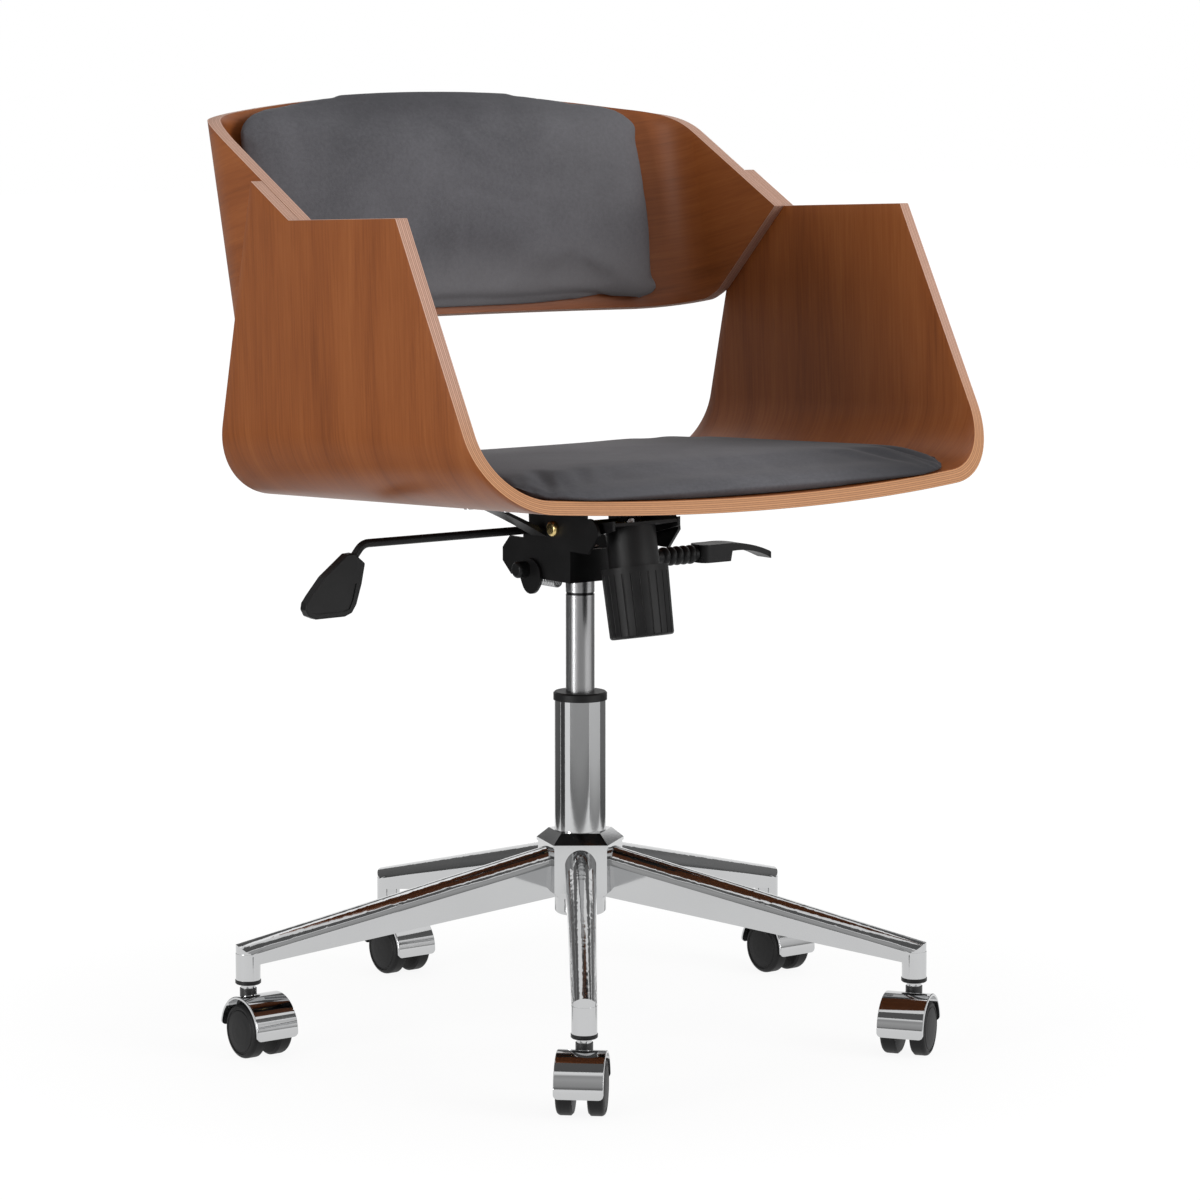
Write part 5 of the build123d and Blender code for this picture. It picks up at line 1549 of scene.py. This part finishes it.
@dataclass
class Metalwork:
    """Finishes of the carried-over solids, by record slot and, for two kinds of node, by name."""

    slots: dict[str, Any] = field(
        default_factory=lambda: {
            "chrome": Chrome(),
            "steel": Chrome("satin_steel", (0.40, 0.40, 0.405), 0.24, (8.0, 8.0, 400.0)),
            "black_steel": Moulded("black_steel", (0.006, 0.006, 0.0063), 0.36, 600.0, 0.0002),
            "black_plastic": Moulded(),
            "wheel_black": Moulded("wheel_black", (0.006, 0.006, 0.0062), 0.52, 700.0, 0.0003),
            "zinc": Chrome("yellow_zinc", (0.72, 0.55, 0.24), 0.18, (90.0, 90.0, 90.0)),
            "beech": PlainWood(),
        }
    )

    def dress(self) -> bpy.types.Material:
        """Give every remaining solid its finish.

        Returns:
            The satin steel, for the coil spring.
        """
        made = {slot: finish.build() for slot, finish in self.slots.items()}
        steel = self.slots["steel"]
        groove_shaded = GrooveShadedSteel(colour=steel.colour, roughness=steel.roughness, grain=steel.grain)
        own = {"hood": CasterHood().build(), "cylinder": groove_shaded.build()}
        for entry in frame["record"]["subparts"]:
            last_word = entry["node"].rpartition("_")[2]
            material = own.get(last_word, made.get(entry["material_slot"]))
            if material is None:
                continue
            solid = frame["nodes"][entry["node"]]
            for slot in solid.material_slots:
                slot.material = material
            if not solid.material_slots:
                solid.data.materials.append(material)
        return made["steel"]


def report(pieces: Iterable[bpy.types.Object]) -> None:
    """Log each new piece with its size.

    Args:
        pieces: the finished pieces.
    """
    for piece in pieces:
        size = ", ".join(f"{n:.3f}" for n in piece.dimensions)
        log.info("%s: %d faces, %s m", piece.name, len(piece.data.polygons), size)


def main() -> None:
    """Build the chair's looks and its studio."""
    Studio().build()
    veneer, edge, velvet = Veneer().build(), PlyEdge().build(), Velvet().build()
    steel = Metalwork().dress()
    shell = SeatShell().build(veneer, edge)
    band = BackBand()
    wrap = band.build(veneer, edge)
    seat_pad = Cushion("seat_cushion", "seat_pad", lambda p: SEAT.local(p)[2] < SEAT_PAD_HELD)
    back_pad = Cushion("back_cushion", "back_pad", lambda p: band.stand.local(p)[1] > BACK_PAD_HELD)
    pads = [pad.build(velvet) for pad in (seat_pad, back_pad)]
    coil = TensionCoil().build(steel)
    report([shell, wrap, *pads, coil])


if __name__ == "__main__":
    main()
